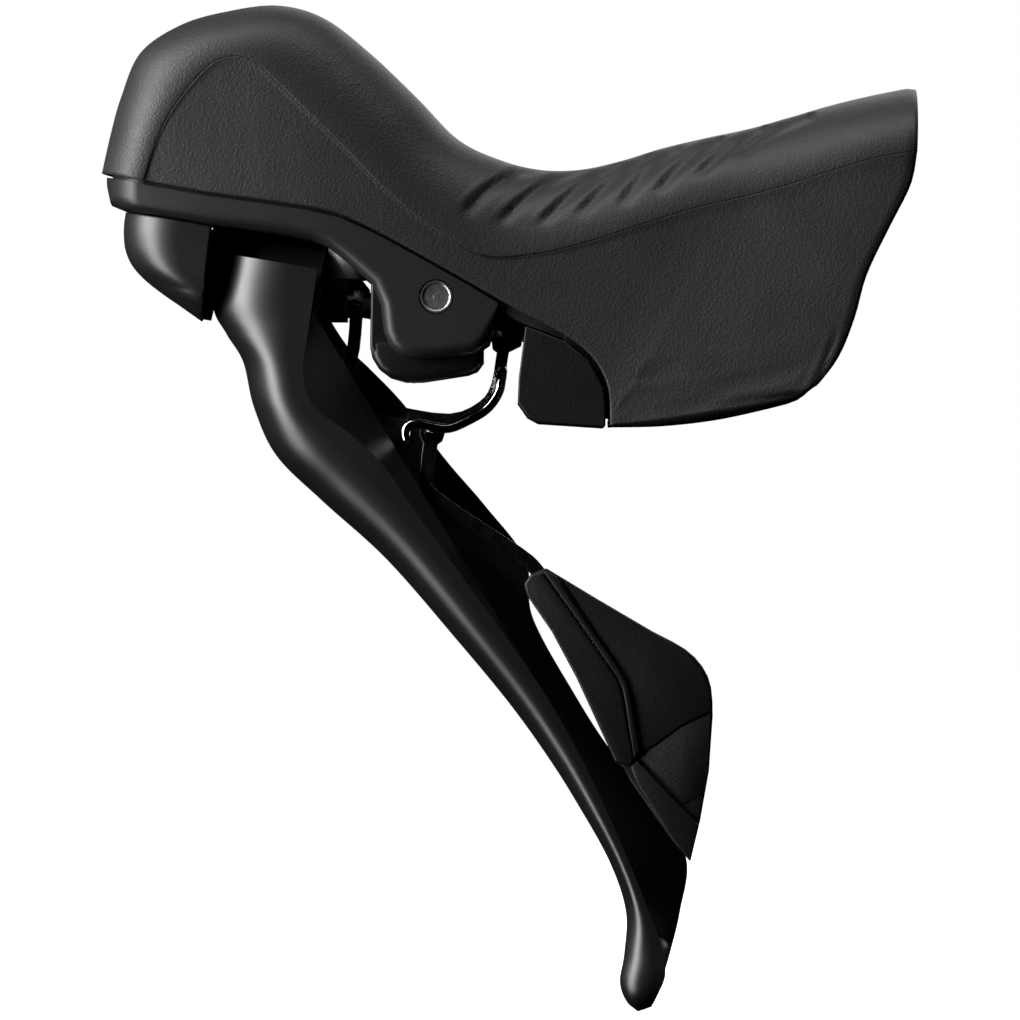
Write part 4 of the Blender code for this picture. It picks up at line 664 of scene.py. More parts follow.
@dataclass
class Hood:
    """Rubber hood: a sleeve with a ribbed grip, a parting line and stepped rear panels.

    Each row holds the crown, the crease and the seam in X and Z, the half width
    and how far the run to the seam bows with the rear edge.
    """

    wall: float = 1.1
    crown_cells: int = 46
    side_cells: int = 34
    under_cells: int = 8
    row_cells: int = 11
    closed_from: int = 17
    way_out: float = 15.0
    way_out_top: float = -12.0
    bar_tilt: float = math.radians(21.7)
    crease_step: float = 0.22
    rib_depth: float = 0.8
    rib_swell: float = 0.2
    panel_step: float = 0.3
    rim_round: float = 0.45
    rows: tuple = (
        (-130.5, 6.1, -122.4, 4.2, -121.6, 3.9, 12.0, 0), (-128.9, 13.2, -119.8, 11.8, -118.0, 3.2, 12.6, 0),
        (-127.0, 20.0, -117.4, 16.8, -114.2, 2.5, 13.1, 0),
        (-123.4, 28.3, -113.4, 22.2, -110.4, 1.8, 13.6, 0),
        (-116.0, 33.4, -109.6, 25.8, -106.9, 1.3, 14.0, 0),
        (-107.5, 35.9, -105.6, 27.0, -103.4, 0.8, 14.4, 0),
        (-98.0, 37.0, -101.6, 25.6, -99.7, 0.3, 14.8, 0), (-89.5, 34.6, -97.3, 21.6, -95.7, -0.3, 15.1, 0),
        (-81.0, 28.1, -92.2, 16.6, -91.4, -1.0, 15.4, 0), (-72.5, 20.0, -85.8, 10.3, -86.4, -2.2, 15.6, 0),
        (-65.0, 12.4, -78.6, 2.9, -80.4, -4.9, 15.7, 0), (-57.5, 8.7, -70.6, -3.8, -72.4, -9.2, 15.7, 0),
        (-50.0, 6.8, -60.6, -9.4, -63.0, -14.5, 15.7, 0), (-42.5, 6.8, -51.0, -9.2, -54.0, -19.6, 15.8, 0),
        (-35.0, 8.4, -41.0, -6.9, -45.8, -24.0, 16.0, 0), (-27.5, 10.7, -31.4, -3.8, -40.6, -28.2, 16.3, 0),
        (-19.5, 12.6, -22.0, -0.9, -37.8, -33.6, 16.6, 0), (-11.5, 14.3, -13.0, 1.2, -37.4, -40.7, 17.1, 0),
        (-4.0, 16.4, -4.6, 3.4, -27.5, -40.5, 18.0, 0.25), (3.5, 18.6, 3.5, 6.0, -17.5, -39.4, 19.0, 0.5),
        (11.0, 20.4, 11.0, 8.2, -8.5, -37.5, 19.9, 0.75), (19.0, 22.0, 18.6, 9.5, -1.8, -35.7, 20.6, 1.0),
    )
    rear_edge: tuple = ((18.6, 9.5), (17.4, 3.4), (13.4, -4.6), (9.4, -13.0), (7.2, -20.8),
                        (4.0, -28.4), (-1.8, -35.7))
    # Each rib runs from its foot on the side, over a bend, to its end near the crown.
    ribs: tuple = (
        ((-64.4, -2.9), (-60.5, 4.3), (-52.5, 6.9)), ((-58.2, -4.6), (-53.0, 3.4), (-43.0, 7.2)),
        ((-50.8, -4.6), (-45.0, 3.2), (-36.5, 8.0)), ((-43.8, -2.9), (-39.0, 4.2), (-30.5, 9.6)),
        ((-35.7, -1.1), (-32.6, 6.2), (-25.5, 10.8)), ((-29.2, 1.1), (-26.2, 7.8), (-17.5, 12.2)),
        ((-22.1, 4.2), (-19.2, 9.2), (-9.5, 14.2)), ((-14.9, 8.3), (-11.0, 13.0), (-1.2, 16.6)),
    )
    steps: tuple = (((-35.6, -32.2), (4.0, -23.6), (-0.6, -34.8)), ((-36.8, -36.4), (-1.8, -30.9)),
                    ((-36.2, -39.2), (-2.6, -34.8)))

    def sheet(self) -> bmesh.types.BMesh:
        """Shape the hood's outer face as one sheet.

        Returns:
            The sheet, with its distance past the crease as the crease attribute.
        """
        half_cells = self.crown_cells + self.side_cells + self.under_cells
        count = len(self.rows) - 1
        bm, along, round_share = grid_mesh(count * self.row_cells, half_cells * 2)
        places = along * count
        turn = round_share * 2 - 1
        table = np.array(self.rows, dtype=float)
        read = smooth_rows(table, places)
        crown, crease, half = read[:, 0:2], read[:, 2:4], read[:, 6]
        seam = cornered_rows(table[:, 4:6], places, self.closed_from)
        bow = straight_rows(table[:, 7], places)
        tight = self.closed_from + 1
        corner = straight_rows([0.8] * tight + [2.2] + [3.6] * (len(table) - tight - 1), places)
        crown_share = self.crown_cells / half_cells
        side_share = (self.crown_cells + self.side_cells) / half_cells
        reach = np.abs(turn)
        angle = np.clip(reach / crown_share, 0, 1) * math.pi / 2
        spot = crown + (crease - crown) * (1 - np.cos(angle))[:, None]
        wide = half * np.sin(angle)
        run = np.linalg.norm(seam - crease, axis=1)
        corner = np.minimum(corner, run * 0.6)
        part = np.clip((reach - crown_share) / (side_share - crown_share), 0, 1) * 7
        bend = math.pi / 2 * np.clip(part - 5, 0, 2) / 2
        share = (1 - corner / run) * np.clip(part / 5, 0, 1) + corner / run * np.sin(bend)
        line = crease + (seam - crease) * share[:, None]
        line += self.bulge(share) * bow[:, None]
        side_wide = half - corner * (1 - np.cos(bend))
        on_side = reach > crown_share
        spot[on_side] = line[on_side]
        wide[on_side] = side_wide[on_side]
        under = np.clip((reach - side_share) / (1 - side_share), 0, 1)
        wide = wide * (1 - under)
        points = np.column_stack([spot[:, 0], wide * np.sign(turn), spot[:, 1]])
        move_verts(bm, points)
        layer = bm.verts.layers.float.new("crease")
        past = np.where(on_side, share * run, -(1 - reach / crown_share) * 25)
        for vert, value in zip(bm.verts, past):
            vert[layer] = value
        self.emboss(bm, points, places, reach / crown_share, past)
        self.open_underside(bm, reach > side_share + 1e-6, places)
        return bm

    def bulge(self, share: np.ndarray) -> np.ndarray:
        """Measure how far the rear edge stands off the straight run.

        Args:
            share: the shares of the way down the edge.

        Returns:
            The offset in X and Z at each share.
        """
        edge = np.array(self.rear_edge)
        length = np.concatenate([[0], np.cumsum(np.linalg.norm(edge[1:] - edge[:-1], axis=1))])
        length /= length[-1]
        fine = smooth_rows(edge, np.interp(share, length, np.arange(len(edge))))
        return fine - (edge[0] + (edge[-1] - edge[0]) * share[:, None])

    def emboss(self, bm: bmesh.types.BMesh, points: np.ndarray, places: np.ndarray,
               reach: np.ndarray, past: np.ndarray) -> None:
        """Press the ribs, the crease step and the rear panel steps into the sheet.

        Args:
            bm: the sheet.
            points: its points.
            places: the row place of each point.
            reach: the share of the way from the crown to the crease.
            past: the distance past the crease.
        """
        flat = points[:, [0, 2]]
        depth = -self.crease_step * step_up((past + 0.1) / 0.5)
        on_crown = step_up((reach - 0.02) / 0.2) * (reach < 1)
        for start, bend, end in self.ribs:
            gap, side, share = distance_to_line(flat, curved(start, bend, end))
            strong = step_up(share / 0.22) * (1 - 0.2 * step_up((share - 0.8) / 0.2))
            steep = np.where(side > 0, gap * 1.9, gap * 0.72)
            depth -= self.rib_depth * strong * np.exp(-(steep / 0.95) ** 2) * on_crown
            swell = np.exp(-((gap - 1.0) / 0.6) ** 2) * (side > 0)
            depth += self.rib_swell * strong * swell * on_crown
        low = (reach > 1) & (places > 14)
        for line in self.steps:
            gap, _, share = distance_to_line(flat, line)
            fade = step_up(share / 0.1) * step_up((1 - share) / 0.06)
            groove = self.panel_step * np.exp(-(gap / 0.4) ** 2)
            depth -= low * fade * (groove - 0.1 * np.exp(-((gap - 1.0) / 0.5) ** 2))
        rim = step_up((places - (len(self.rows) - 1 - 0.28)) / 0.28)
        depth -= self.rim_round * rim ** 2
        normals = np.array([vert.normal for vert in bm.verts])
        if normals[np.argmax(points[:, 2])][2] < 0:
            bmesh.ops.reverse_faces(bm, faces=bm.faces)
            normals = -normals
        move_verts(bm, points + normals * depth[:, None])

    def open_underside(self, bm: bmesh.types.BMesh, under: np.ndarray, places: np.ndarray) -> None:
        """Take the underside away in front of the closed rows and join the rest.

        Args:
            bm: the sheet.
            under: whether each point lies on the underside.
            places: the row place of each point.
        """
        gone = [vert for vert, low, place_ in zip(bm.verts, under, places)
                if low and place_ < self.closed_from - 1e-6]
        bmesh.ops.delete(bm, geom=gone, context="VERTS")
        bmesh.ops.remove_doubles(bm, verts=bm.verts, dist=0.001)

    def build(self) -> None:
        """Build and place the hood."""
        bm = self.sheet()
        self.cut_way_out(bm)
        piece = place("hood_sleeve", bm, HOOD_RUBBER, Body.BRACKET, ("hood",), 60)
        wall = piece.modifiers.new("wall", "SOLIDIFY")
        wall.thickness = self.wall * MM
        wall.offset = -1
        wall.use_even_offset = False

    def cut_way_out(self, bm: bmesh.types.BMesh) -> None:
        """Open the underside where the handlebar leaves.

        Args:
            bm: the sheet.
        """
        axis = Vector((math.sin(self.bar_tilt), 0, math.cos(self.bar_tilt)))
        gone = []
        for face in bm.faces:
            centre = face.calc_center_median()
            height = centre.dot(axis)
            if height < self.way_out_top and (centre - axis * height).length < self.way_out:
                gone.append(face)
        bmesh.ops.delete(bm, geom=gone, context="FACES")


# ---------------------------------------------------------------- bracket

@dataclass
class Bracket:
    """Bracket moulding with its rounded rim, the boss and the pivot pin."""

    rim_radius: float = 2.4
    channel: float = 10.9
    boss_radius: float = 3.66
    boss_x: float = -85.2
    boss_bottom: float = -13.65
    nose_x: float = -115.0
    tongue_faces: Point = (13.2, 14.4)
    # fin_faces and fin: the faces and outline of a dark plate in the darker cover nylon that fills the slot
    # over the blade as painted shade
    fin_faces: Point = (8.8, 10.2)
    rim_lower: tuple = ((-129.6, 4.2), (-128.6, 0.1), (-126.2, -0.8), (-119.0, -2.0), (-109.7, -3.7),
                        (-98.0, -5.2), (-92.0, -6.3), (-88.9, -7.5), (-85.6, -10.1), (-80.6, -14.5),
                        (-79.0, -18.4), (-78.4, -23.4), (-77.2, -26.0), (-74.8, -27.9), (-71.4, -28.4),
                        (-62.0, -27.4), (-59.1, -25.4), (-57.9, -20.8))
    fin: tuple = ((-110.4, -3.0), (-98.0, -4.4), (-92.0, -5.6), (-89.2, -6.8), (-87.6, -8.2), (-90.6, -11.3),
                  (-108.4, -8.5), (-110.4, -8.6))
    tongue: tuple = ((-46.0, -25.6), (-42.6, -27.6), (-40.6, -30.0), (-39.0, -33.0), (-38.6, -38.8),
                     (-36.2, -39.0), (-36.2, -33.4), (-37.6, -30.2), (-39.6, -27.2), (-42.0, -24.8),
                     (-45.2, -22.8))

    def on_rim(self, edge: bmesh.types.BMEdge) -> bool:
        """Tell whether an edge runs along the outer lower rim.

        Args:
            edge: an edge of the bracket moulding.

        Returns:
            Whether it does.
        """
        spots = np.array([(vert.co.x, vert.co.z) for vert in edge.verts])
        gap = distance_to_line(spots, self.rim_lower)[0].max()
        outside = min(abs(vert.co.y) for vert in edge.verts) > self.channel
        nose = max(vert.co.x for vert in edge.verts) < self.nose_x
        along_rim = abs(edge.verts[0].co.y - edge.verts[1].co.y) < 4
        return gap < 0.2 and (outside or nose) and along_rim

    def build_body(self) -> None:
        """Round the rim of the bracket moulding and place it."""
        bm = node_copy("bracket_body")
        soften(bm, self.rim_radius, 6, 30, self.on_rim, clamp=False)
        place("bracket_moulding", bm, NYLON, Body.BRACKET, ("bracket_body",), 30, True)

    def build_boss(self) -> None:
        """Place the metal sleeve of the reach screw's boss."""
        start = Vector((self.boss_x, 0, self.boss_bottom))
        profile = ((0, 1.9), (0, self.boss_radius - 0.4), (0.4, self.boss_radius), (10.5, self.boss_radius))
        place("reach_boss_sleeve", spun(profile, start, Vector((0, 0, 1))), BLASTED, Body.BRACKET)

    def build_pin(self) -> None:
        """Turn the pivot pin with its bright chamfered head."""
        profile = ((-14.72, 0), (-14.72, 0.5), (-14.66, 0.55), (-14.66, 2.35), (-14.92, 2.5), (-15.0, 2.62),
                   (-15.0, 2.86), (-14.86, 3.0), (-14.6, 3.05), (-13.4, 3.05), (-13.4, 2.5), (12.7, 2.5),
                   (12.7, 1.9), (14.1, 1.9), (14.1, 2.5), (14.5, 2.5), (14.8, 2.2), (14.8, 0))
        bm = spun(profile, Vector(PIVOT), Vector((0, 1, 0)), 64)
        place("pivot_pin_turned", bm, PIN_TURNED, Body.BRACKET, ("pivot_pin",), 25)

    def build_cover(self) -> None:
        """Round the edges of the lower cover and add the tongue behind its seam."""
        bm = node_copy("lower_cover")
        soften(bm, 0.35, 4, 38)
        # painted shade: the cover takes the darker nylon that stands in for the shade under the bracket
        place("lower_cover_shell", bm, COVER_NYLON_PAINTED_SHADE, Body.BRACKET, ("lower_cover",),
              30, True)
        parts = []
        for side in (-1, 1):
            low, high = sorted(side * face for face in self.tongue_faces)
            parts.append(slab(self.tongue, low, high, 0.2))
        # the tongue takes the same darker nylon: painted shade in the gap behind the seam
        place("lower_cover_tongue", merged(*parts), COVER_NYLON_PAINTED_SHADE, Body.BRACKET,
              angle=30)

    def build_shade_fin(self) -> None:
        """Add a dark plate on the far side that fills the slot over the blade: painted shade standing in for
        the dark gap there.
        """
        place("bracket_shade_fin", slab(self.fin, *self.fin_faces, 0.2), COVER_NYLON_PAINTED_SHADE, Body.BRACKET,
              angle=30)

    def build(self) -> None:
        """Build every piece of the bracket."""
        self.build_body()
        self.build_boss()
        self.build_pin()
        self.build_cover()
        self.build_shade_fin()


# ---------------------------------------------------------------- carrier and cap

@dataclass
class Carrier:
    """Carrier that swings with the brake, and the blank cap at its front."""

    cap_wall: float = 1.5
    cap_half: float = 11.0
    cap_depth: float = 10.5
    cap_front: tuple = ((-126.1, -1.1), (-126.4, -3.2), (-126.45, -5.6), (-126.1, -8.2), (-124.9, -10.9),
                        (-122.7, -13.4), (-119.6, -15.9), (-116.0, -18.4), (-112.2, -21.1))
    cap_rear: tuple = ((-109.9, -3.95), (-110.2, -6.4), (-110.5, -8.6), (-110.8, -10.8), (-111.1, -13.0),
                       (-111.3, -15.1), (-111.5, -17.2), (-111.7, -19.2), (-112.0, -21.1))
    skirt_half: float = 10.6
    screen_faces: Point = (4.4, 5.6)
    skirt: tuple = (
        (-80.8, -24.0), (-81.0, -26.0), (-80.6, -28.0), (-79.4, -30.0), (-77.4, -31.5), (-74.6, -32.3),
        (-71.5, -32.3), (-68.1, -31.8), (-63.0, -31.0), (-61.3, -30.3), (-60.4, -29.0), (-60.1, -24.0))
    screens: tuple = (
        ((-90.2, -20.4), (-90.2, -8.6), (-88.9, -8.7), (-85.8, -11.3), (-82.4, -13.7), (-81.2, -15.2),
         (-81.2, -20.4)),
        ((-59.6, -19.5), (-56.0, -19.0), (-52.8, -20.8), (-53.3, -25.6), (-57.0, -27.4), (-58.6, -26.2)))

    def build_cap(self) -> None:
        """Shape the cap as one bow-shaped sheet and give it a wall."""
        bm, down, round_share = grid_mesh(48, 96)
        places = down * (len(self.cap_front) - 1)
        front = smooth_rows(np.array(self.cap_front), places)
        rear = smooth_rows(np.array(self.cap_rear), places)
        turn = round_share * 2 - 1
        reach = 1 - np.abs(turn)
        length = np.linalg.norm(rear - front, axis=1)
        nose = np.minimum(self.cap_depth / np.maximum(length, 0.01), 1)
        half = self.cap_half * (1 - down ** 5) ** 0.5
        back = np.clip(reach / 0.25, 0, 1)
        angle = np.clip((reach - 0.25) / 0.75, 0, 1) * math.pi / 2
        share = 1 - (1 - nose) * back - nose * np.sin(angle)
        wide = half * np.cos(angle) ** 0.9
        spot = front + (rear - front) * share[:, None]
        move_verts(bm, np.column_stack([spot[:, 0], wide * np.sign(turn), spot[:, 1]]))
        bmesh.ops.remove_doubles(bm, verts=bm.verts, dist=0.01)
        bmesh.ops.recalc_face_normals(bm, faces=bm.faces)
        nearest = min(bm.faces, key=lambda f: f.calc_center_median().y)
        if nearest.normal.y > 0:
            bmesh.ops.reverse_faces(bm, faces=bm.faces)
        piece = place("name_cap_shell", bm, CAP_LACQUER, Body.CARRIER, ("name_cap",), 60)
        wall = piece.modifiers.new("wall", "SOLIDIFY")
        wall.thickness = self.cap_wall * MM
        wall.offset = -1

    def build_body(self) -> None:
        """Round the carrier's casting and add its smooth skirt and its two screens."""
        bm = node_copy("lever_carrier")
        soften(bm, 0.5, 3, 20, lambda e: max(v.co.z for v in e.verts) < -10
               and min(abs(v.co.y) for v in e.verts) > 9.9)
        place("carrier_casting", bm, BLACK_COAT, Body.CARRIER, ("lever_carrier",), 30, True)
        place("carrier_skirt", slab(self.skirt, -self.skirt_half, self.skirt_half, 1.6, 5), BLACK_COAT,
              Body.CARRIER, angle=30)
        screens = [slab(screen, *self.screen_faces, 0.2) for screen in self.screens]
        place("carrier_screens", merged(*screens), BLACK_COAT, Body.CARRIER, angle=30)

    def build(self) -> None:
        """Build the carrier's pieces."""
        self.build_cap()
        self.build_body()


# ---------------------------------------------------------------- blade

@dataclass
class Blade:
    """Lever blade: an open-backed section that narrows to a solid bulb.

    Each row holds the front, the near edge and the far edge in X and Z, and how
    far the width has narrowed.
    """

    wall: float = 1.8
    top_half: float = 10.8
    tip_half: float = 4.6
    front_round: float = 13.0
    row_cells: int = 14
    rows: tuple = (
        (-108.6, -8.6, -90.6, -11.8, -90.4, -11.8, 0.0), (-110.0, -18.2, -91.6, -18.5, -89.6, -18.5, 0.0),
        (-107.6, -23.4, -92.5, -24.6, -85.4, -25.6, 0.0), (-104.5, -28.6, -93.2, -30.6, -81.4, -29.6, 0.04),
        (-102.5, -37.0, -91.4, -36.7, -75.1, -36.2, 0.08), (-98.4, -45.8, -84.5, -42.0, -67.2, -46.6, 0.13),
        (-90.0, -54.1, -78.3, -48.0, -60.0, -55.0, 0.2), (-78.0, -65.0, -70.8, -58.8, -52.5, -65.0, 0.3),
        (-65.2, -79.7, -60.3, -73.3, -51.2, -75.6, 0.42), (-55.6, -91.3, -50.9, -86.6, -43.4, -89.9, 0.54),
        (-48.6, -101.0, -44.4, -97.4, -36.6, -100.4, 0.63),
        (-43.1, -109.7, -39.4, -107.3, -28.6, -110.0, 0.7),
        (-37.1, -120.5, -33.6, -120.2, -22.9, -120.0, 0.78),
        (-34.1, -129.6, -30.0, -129.3, -24.0, -129.6, 0.86),
        (-34.4, -137.4, -27.6, -135.8, -25.6, -136.4, 0.93),
        (-35.2, -142.6, -26.9, -141.0, -27.0, -141.2, 1.0),
        (-34.0, -146.2, -28.3, -144.9, -28.4, -145.0, 1.2),
        (-31.9, -148.1, -29.4, -147.2, -29.5, -147.3, 1.6),
    )
    solid_from: float = 12.6
    flange: Point = (26.7, 28.3)
    pocket_faces: Point = (5.7, 6.5)
    pocket: tuple = ((-92.0, -24.6), (-90.3, -24.8), (-87.9, -27.6), (-88.5, -29.6), (-91.9, -32.4))

    def wall_path(self, share: np.ndarray, read: np.ndarray, inset: float, near: bool) -> np.ndarray:
        """Return points on one wall, from its rear edge to the front.

        Args:
            share: the share of the way from the edge to the front.
            read: the row values at each point.
            inset: how far inside the outer face the path runs.
            near: whether it is the near wall.

        Returns:
            The points.
        """
        front, edge = read[:, 0:2], read[:, 2:4] if near else read[:, 4:6]
        middle = (read[:, 2:4] + read[:, 4:6]) / 2
        ahead = middle - front
        front = front + ahead / np.linalg.norm(ahead, axis=1)[:, None] * inset
        half = np.maximum(self.top_half + (self.tip_half - self.top_half) * read[:, 6] - inset, 0.5)
        way = edge - front
        length = np.linalg.norm(way, axis=1)
        depth = np.minimum(self.front_round, 0.75 * length)
        start = front + way / length[:, None] * depth[:, None]
        turn = np.clip((share - 0.25) / 0.75, 0, 1) * math.pi / 2
        flat = np.clip(share / 0.25, 0, 1)[:, None]
        spot = edge + (start - edge) * flat
        spot = spot + (front - start) * np.sin(turn)[:, None]
        wide = half * np.cos(turn) ** 0.95
        return np.column_stack([spot[:, 0], wide * (-1 if near else 1), spot[:, 1]])

    def build_blade(self) -> None:
        """Shape the blade as one closed skin and place it."""
        count = len(self.rows) - 1
        bm, along, turn = grid_mesh(count * self.row_cells, 112)
        places = along * count
        read = smooth_rows(np.array(self.rows, dtype=float), places)
        quarter = turn * 4
        outer_near = self.wall_path(quarter, read, 0, True)
        outer_far = self.wall_path(2 - quarter, read, 0, False)
        inner_far = self.wall_path(quarter - 2, read, self.wall, False)
        inner_near = self.wall_path(4 - quarter, read, self.wall, True)
        edge_near = self.wall_path(np.zeros_like(turn), read, self.wall, True)
        edge_far = self.wall_path(np.zeros_like(turn), read, self.wall, False)
        back = edge_far + (edge_near - edge_far) * np.clip((quarter - 2) / 2, 0, 1)[:, None]
        inner = np.where((quarter < 3)[:, None], inner_far, inner_near)
        solid = step_up((places - self.solid_from) / 1.6)[:, None]
        inner = inner * (1 - solid) + back * solid
        outer = np.where((quarter < 1)[:, None], outer_near, outer_far)
        move_verts(bm, np.where((quarter < 2)[:, None], outer, inner))
        bmesh.ops.remove_doubles(bm, verts=bm.verts, dist=0.02)
        bmesh.ops.holes_fill(bm, edges=bm.edges, sides=0)
        bmesh.ops.recalc_face_normals(bm, faces=bm.faces)
        piece = place("blade_skin", bm, BLADE_LACQUER, Body.LEVER, ("lever_blade",), 50)
        lip = piece.modifiers.new("lip", "BEVEL")
        lip.width = 0.35 * MM
        lip.segments = 3
        lip.limit_method = "ANGLE"
        lip.angle_limit = math.radians(50)

    def build_pocket(self) -> None:
        """Add the shallow pocket in the far wall, with its raised border."""
        border = slab(self.pocket, *self.pocket_faces)
        face = min(border.faces, key=lambda f: f.calc_center_median().y)
        bmesh.ops.inset_region(border, faces=[face], thickness=0.55)
        bmesh.ops.translate(border, verts=face.verts, vec=(0, 0.45, 0))
        soften(border, 0.14, 2, 30)
        place("tang_pocket", border, BLADE_LACQUER, Body.LEVER, angle=30)

    def build_hub(self) -> None:
        """Round the edges of the hub and its tang, and add the flange in front of it."""
        bm = node_copy("lever_hub")
        soften(bm, 0.25, 3, 45)
        place("hub_casting", bm, BLADE_LACQUER, Body.LEVER, ("lever_hub",), 30, True)
        low, high = self.flange
        profile = ((low, 2.8), (low, 7.7), (high - 0.3, 7.7), (high, 7.4), (high, 2.8), (low, 2.8))
        place("hub_flange", spun(profile, Vector(SHIFT_CENTRE), Vector(SHIFT_AXIS), 64),
              BLADE_LACQUER, Body.LEVER, angle=30)

    def build(self) -> None:
        """Build the blade's pieces."""
        self.build_blade()
        self.build_pocket()
        self.build_hub()


# ---------------------------------------------------------------- shift paddle

@dataclass
class Paddle:
    """Shift paddle with its strip, lip and facets, its yoke, arm and hooked rod."""

    back: float = -7.6
    face: float = -9.4
    proud: float = -10.6
    outline: tuple = (
        (-52.2, -71.6), (-52.9, -69.4), (-51.6, -67.6), (-48.8, -66.4), (-39.7, -71.9), (-29.3, -78.0),
        (-25.6, -79.9), (-23.4, -81.2), (-21.6, -82.7), (-20.2, -84.4), (-19.2, -86.2), (-18.6, -88.2),
        (-18.35, -90.6), (-18.3, -93.5), (-19.0, -103.6), (-20.6, -112.6), (-22.4, -120.2), (-25.8, -116.2),
        (-33.4, -105.4), (-34.6, -103.0), (-36.1, -102.0), (-43.2, -86.6), (-47.8, -78.0))
    strip: tuple = (
        (-52.2, -71.6), (-52.9, -69.4), (-51.6, -67.6), (-49.6, -67.2), (-43.2, -76.0), (-38.5, -82.8),
        (-35.9, -86.6), (-35.1, -88.4), (-34.7, -90.2), (-33.9, -95.1), (-32.9, -100.0), (-32.7, -102.0),
        (-33.6, -102.6), (-36.1, -102.0), (-43.2, -86.6), (-47.8, -78.0))
    lip: tuple = (
        (-49.4, -67.0), (-47.2, -67.6), (-41.2, -76.7), (-35.9, -84.2), (-34.3, -86.8), (-33.6, -89.0),
        (-31.6, -100.0), (-32.8, -101.4), (-34.5, -90.2), (-34.9, -88.4), (-35.7, -86.6), (-38.3, -82.8),
        (-43.0, -76.0))
    lower_strip: tuple = ((-33.4, -102.8), (-32.2, -101.6), (-25.8, -108.4), (-20.8, -113.4), (-22.4, -120.0),
                          (-25.8, -116.2), (-32.2, -105.8))
    upper_facet: tuple = (
        (-45.8, -68.4), (-39.5, -72.2), (-29.3, -78.2), (-23.6, -81.5), (-20.5, -84.8), (-18.9, -88.4),
        (-18.6, -92.6), (-23.9, -95.1), (-29.3, -99.0), (-31.2, -100.0), (-33.2, -88.6), (-36.0, -83.6))
    middle_facet: tuple = ((-18.7, -93.1), (-24.0, -95.6), (-29.4, -99.5), (-31.4, -101.2), (-25.0, -107.6),
                           (-23.8, -109.6), (-19.8, -107.6), (-19.2, -103.6))
    teeth: int = 13
    rod_radius: float = 0.9
    rod: tuple = ((-74.5, -43.0), (-74.6, -40.9), (-73.2, -39.8), (-70.0, -40.5), (-66.6, -41.1),
                  (-62.6, -39.2), (-59.5, -37.4), (-57.4, -34.4), (-57.0, -32.0))

    def build_grip(self) -> None:
        """Lay up the paddle from its plate, strip, lip, facets and fine teeth."""
        parts = [
            slab(self.outline, self.face, self.back, 0.45, 3),
            slab(self.strip, self.proud, self.back - 0.3, 0.5, 4),
            slab(self.lip, self.face - 1.05, self.face + 0.4, 0.34, 3),
            slab(self.lower_strip, self.proud + 0.3, self.back - 0.3, 0.4, 3),
            slab(self.upper_facet, self.face - 0.28, self.face + 0.4, 0.2, 3),
            slab(self.middle_facet, self.face - 0.16, self.face + 0.4, 0.16, 2),
        ]
        start, end = Vector((-47.6, -69.4)), Vector((-37.6, -83.6))
        for index in range(self.teeth):
            x, z = start.lerp(end, index / (self.teeth - 1))
            tooth = ((x - 0.28, z - 0.05), (x + 0.1, z + 0.3), (x + 0.32, z + 0.02), (x - 0.06, z - 0.33))
            parts.append(slab(tooth, self.face - 1.0, self.face - 0.6, 0.06, 1))
        place("paddle_grip", merged(*parts), PADDLE_NYLON, Body.PADDLE, ("shift_paddle",),
              30)

    def build_links(self) -> None:
        """Round the edges of the yoke and the arm."""
        for node, radius in (("paddle_yoke", 0.5), ("paddle_arm", 0.5)):
            bm = node_copy(node)
            soften(bm, radius, 4, 40)
            place(node + "_pressing", bm, BLACK_PLATE, Body.PADDLE, (node,), 30, True)

    def build_rod(self) -> None:
        """Bend the bright hooked rod."""
        path = [(x, -9.5, z) for x, z in self.rod]
        path += [(-56.8, -8.3, -30.6), (-56.8, -5.2, -30.0)]
        place("paddle_rod_wire", swept(path, self.rod_radius, 24, 3), CHROME, Body.PADDLE,
              ("paddle_rod",))

    def build(self) -> None:
        """Build the paddle's pieces."""
        self.build_grip()
        self.build_links()
        self.build_rod()


# ---------------------------------------------------------------- the rest

@dataclass
class Hardware:
    """Screws, rivets, springs, seals and hydraulic parts that keep their packed form."""

    special: dict = field(default_factory=lambda: {
        "front_plate": BLACK_PLATE, "ratchet_case": BLACK_COAT, "reservoir_lid": NYLON,
        "cable_guide": NYLON, "clamp_band": TURNED, "tang_rivet_upper": BLACK_COAT,
        "tang_rivet_lower": BLACK_COAT, "lower_cover_screw": BLACK_COAT, "grip_rivet_upper": BLACK_COAT,
        "grip_rivet_lower": BLACK_COAT})

    def dress(self) -> None:
        """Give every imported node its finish."""
        slots = {part["node"]: part["material_slot"] for part in FRAME["record"]["subparts"]}
        for name, node in FRAME["nodes"].items():
            finish = self.special.get(name, SLOT_FINISH[slots[name]])
            if len(node.data.materials) == 0:
                node.data.materials.append(finish.paint())
            for index in range(len(node.material_slots)):
                node.material_slots[index].material = finish.paint()
        LOG.info("dressed %d packed nodes", len(FRAME["nodes"]))


# ---------------------------------------------------------------- studio

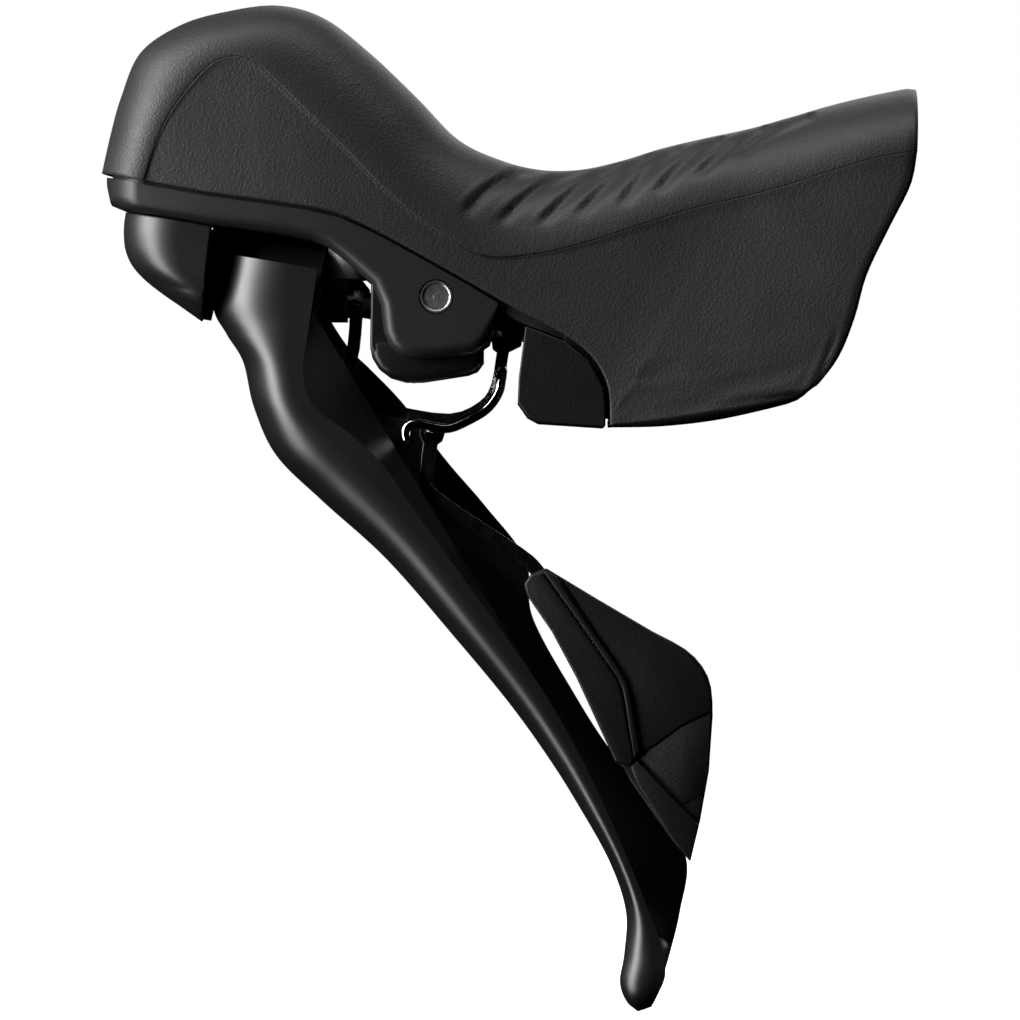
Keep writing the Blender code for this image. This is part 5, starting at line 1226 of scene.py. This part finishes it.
@dataclass
class Studio:
    """Pale floor, soft lights and the camera."""

    centre: tuple[float, float, float] = (-0.0554, 0.0, -0.0558)
    width: float = 0.1877
    distance: float = 1.6
    floor_z: float = -0.1492
    floor_size: float = 40.0
    sensor: float = 36.0

    def floor(self) -> None:
        """Lay a plain white floor."""
        bm = bmesh.new()
        bmesh.ops.create_grid(bm, x_segments=1, y_segments=1, size=self.floor_size)
        bmesh.ops.translate(bm, verts=bm.verts, vec=(0, 0, self.floor_z))
        mesh = bpy.data.meshes.new("studio_floor")
        bm.to_mesh(mesh)
        bm.free()
        made = bpy.data.materials.new("matt white floor")
        made.use_nodes = True
        shader = made.node_tree.nodes["Principled BSDF"]
        shader.inputs["Base Color"].default_value = (0.8, 0.8, 0.8, 1)
        shader.inputs["Roughness"].default_value = 0.9
        shader.inputs["Emission Color"].default_value = (1, 1, 1, 1)
        shader.inputs["Emission Strength"].default_value = 1.0
        mesh.materials.append(made)
        plane = bpy.data.objects.new("studio_floor", mesh)
        bpy.context.scene.collection.objects.link(plane)
        plane.visible_glossy = False
        plane.visible_diffuse = False

    def lamp(self, name: str, spot: Sequence[float], size: Point, power: float) -> None:
        """Hang a soft rectangular light that points at the lever's middle.

        Args:
            name: its name.
            spot: where it hangs, in metres.
            size: its width and height in metres.
            power: its power in watts.
        """
        data = bpy.data.lights.new(name, "AREA")
        data.shape = "RECTANGLE"
        data.size, data.size_y = size
        data.energy = power
        light = bpy.data.objects.new(name, data)
        light.location = spot
        toward = Vector(self.centre) - Vector(spot)
        light.rotation_euler = toward.to_track_quat("-Z", "Y").to_euler()
        bpy.context.scene.collection.objects.link(light)

    def lights(self) -> None:
        """Set the sky and the lamps."""
        world = bpy.data.worlds.new("studio")
        bpy.context.scene.world = world
        world.use_nodes = True
        sky = world.node_tree.nodes["Background"]
        sky.inputs["Color"].default_value = (1, 1, 1, 1)
        sky.inputs["Strength"].default_value = 1.0
        world.cycles_visibility.glossy = False
        world.cycles_visibility.diffuse = False
        self.lamp("key", (-0.62, -0.17, 0.24), (0.35, 0.5), 5.5)
        self.lamp("side_strip", (-0.66, -0.34, -0.16), (0.30, 0.70), 7.0)
        self.lamp("top", (-0.05, -0.12, 0.60), (0.90, 0.25), 2.6)
        self.lamp("back", (0.25, 0.7, 0.35), (0.8, 0.6), 2.5)

    def camera(self) -> None:
        """Set the camera level with the lever, at its side."""
        data = bpy.data.cameras.new("camera")
        data.sensor_width = self.sensor
        data.lens = self.sensor * self.distance / self.width
        data.clip_end = 100
        camera = bpy.data.objects.new("camera", data)
        camera.location = (self.centre[0], -self.distance, self.centre[2])
        camera.rotation_euler = (math.pi / 2, 0, 0)
        bpy.context.scene.collection.objects.link(camera)
        bpy.context.scene.camera = camera

    def build(self) -> None:
        """Build the studio."""
        self.floor()
        self.lights()
        self.camera()
        bpy.context.scene.view_settings.view_transform = "Standard"


def main() -> None:
    """Build every piece and the studio."""
    logging.basicConfig(level=logging.INFO, format="%(message)s")
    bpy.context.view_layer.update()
    Studio().build()
    Hardware().dress()
    for part in (Hood(), Bracket(), Carrier(), Blade(), Paddle()):
        part.build()
        LOG.info("built %s", type(part).__name__)


with open("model.json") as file:
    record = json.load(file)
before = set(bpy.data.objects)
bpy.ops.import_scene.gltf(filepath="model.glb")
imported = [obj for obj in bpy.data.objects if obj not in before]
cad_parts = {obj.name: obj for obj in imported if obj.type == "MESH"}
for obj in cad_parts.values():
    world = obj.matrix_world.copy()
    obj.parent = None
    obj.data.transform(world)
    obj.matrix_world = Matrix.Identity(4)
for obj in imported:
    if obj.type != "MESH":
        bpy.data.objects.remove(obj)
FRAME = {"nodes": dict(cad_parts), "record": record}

if __name__ == "__main__":
    main()
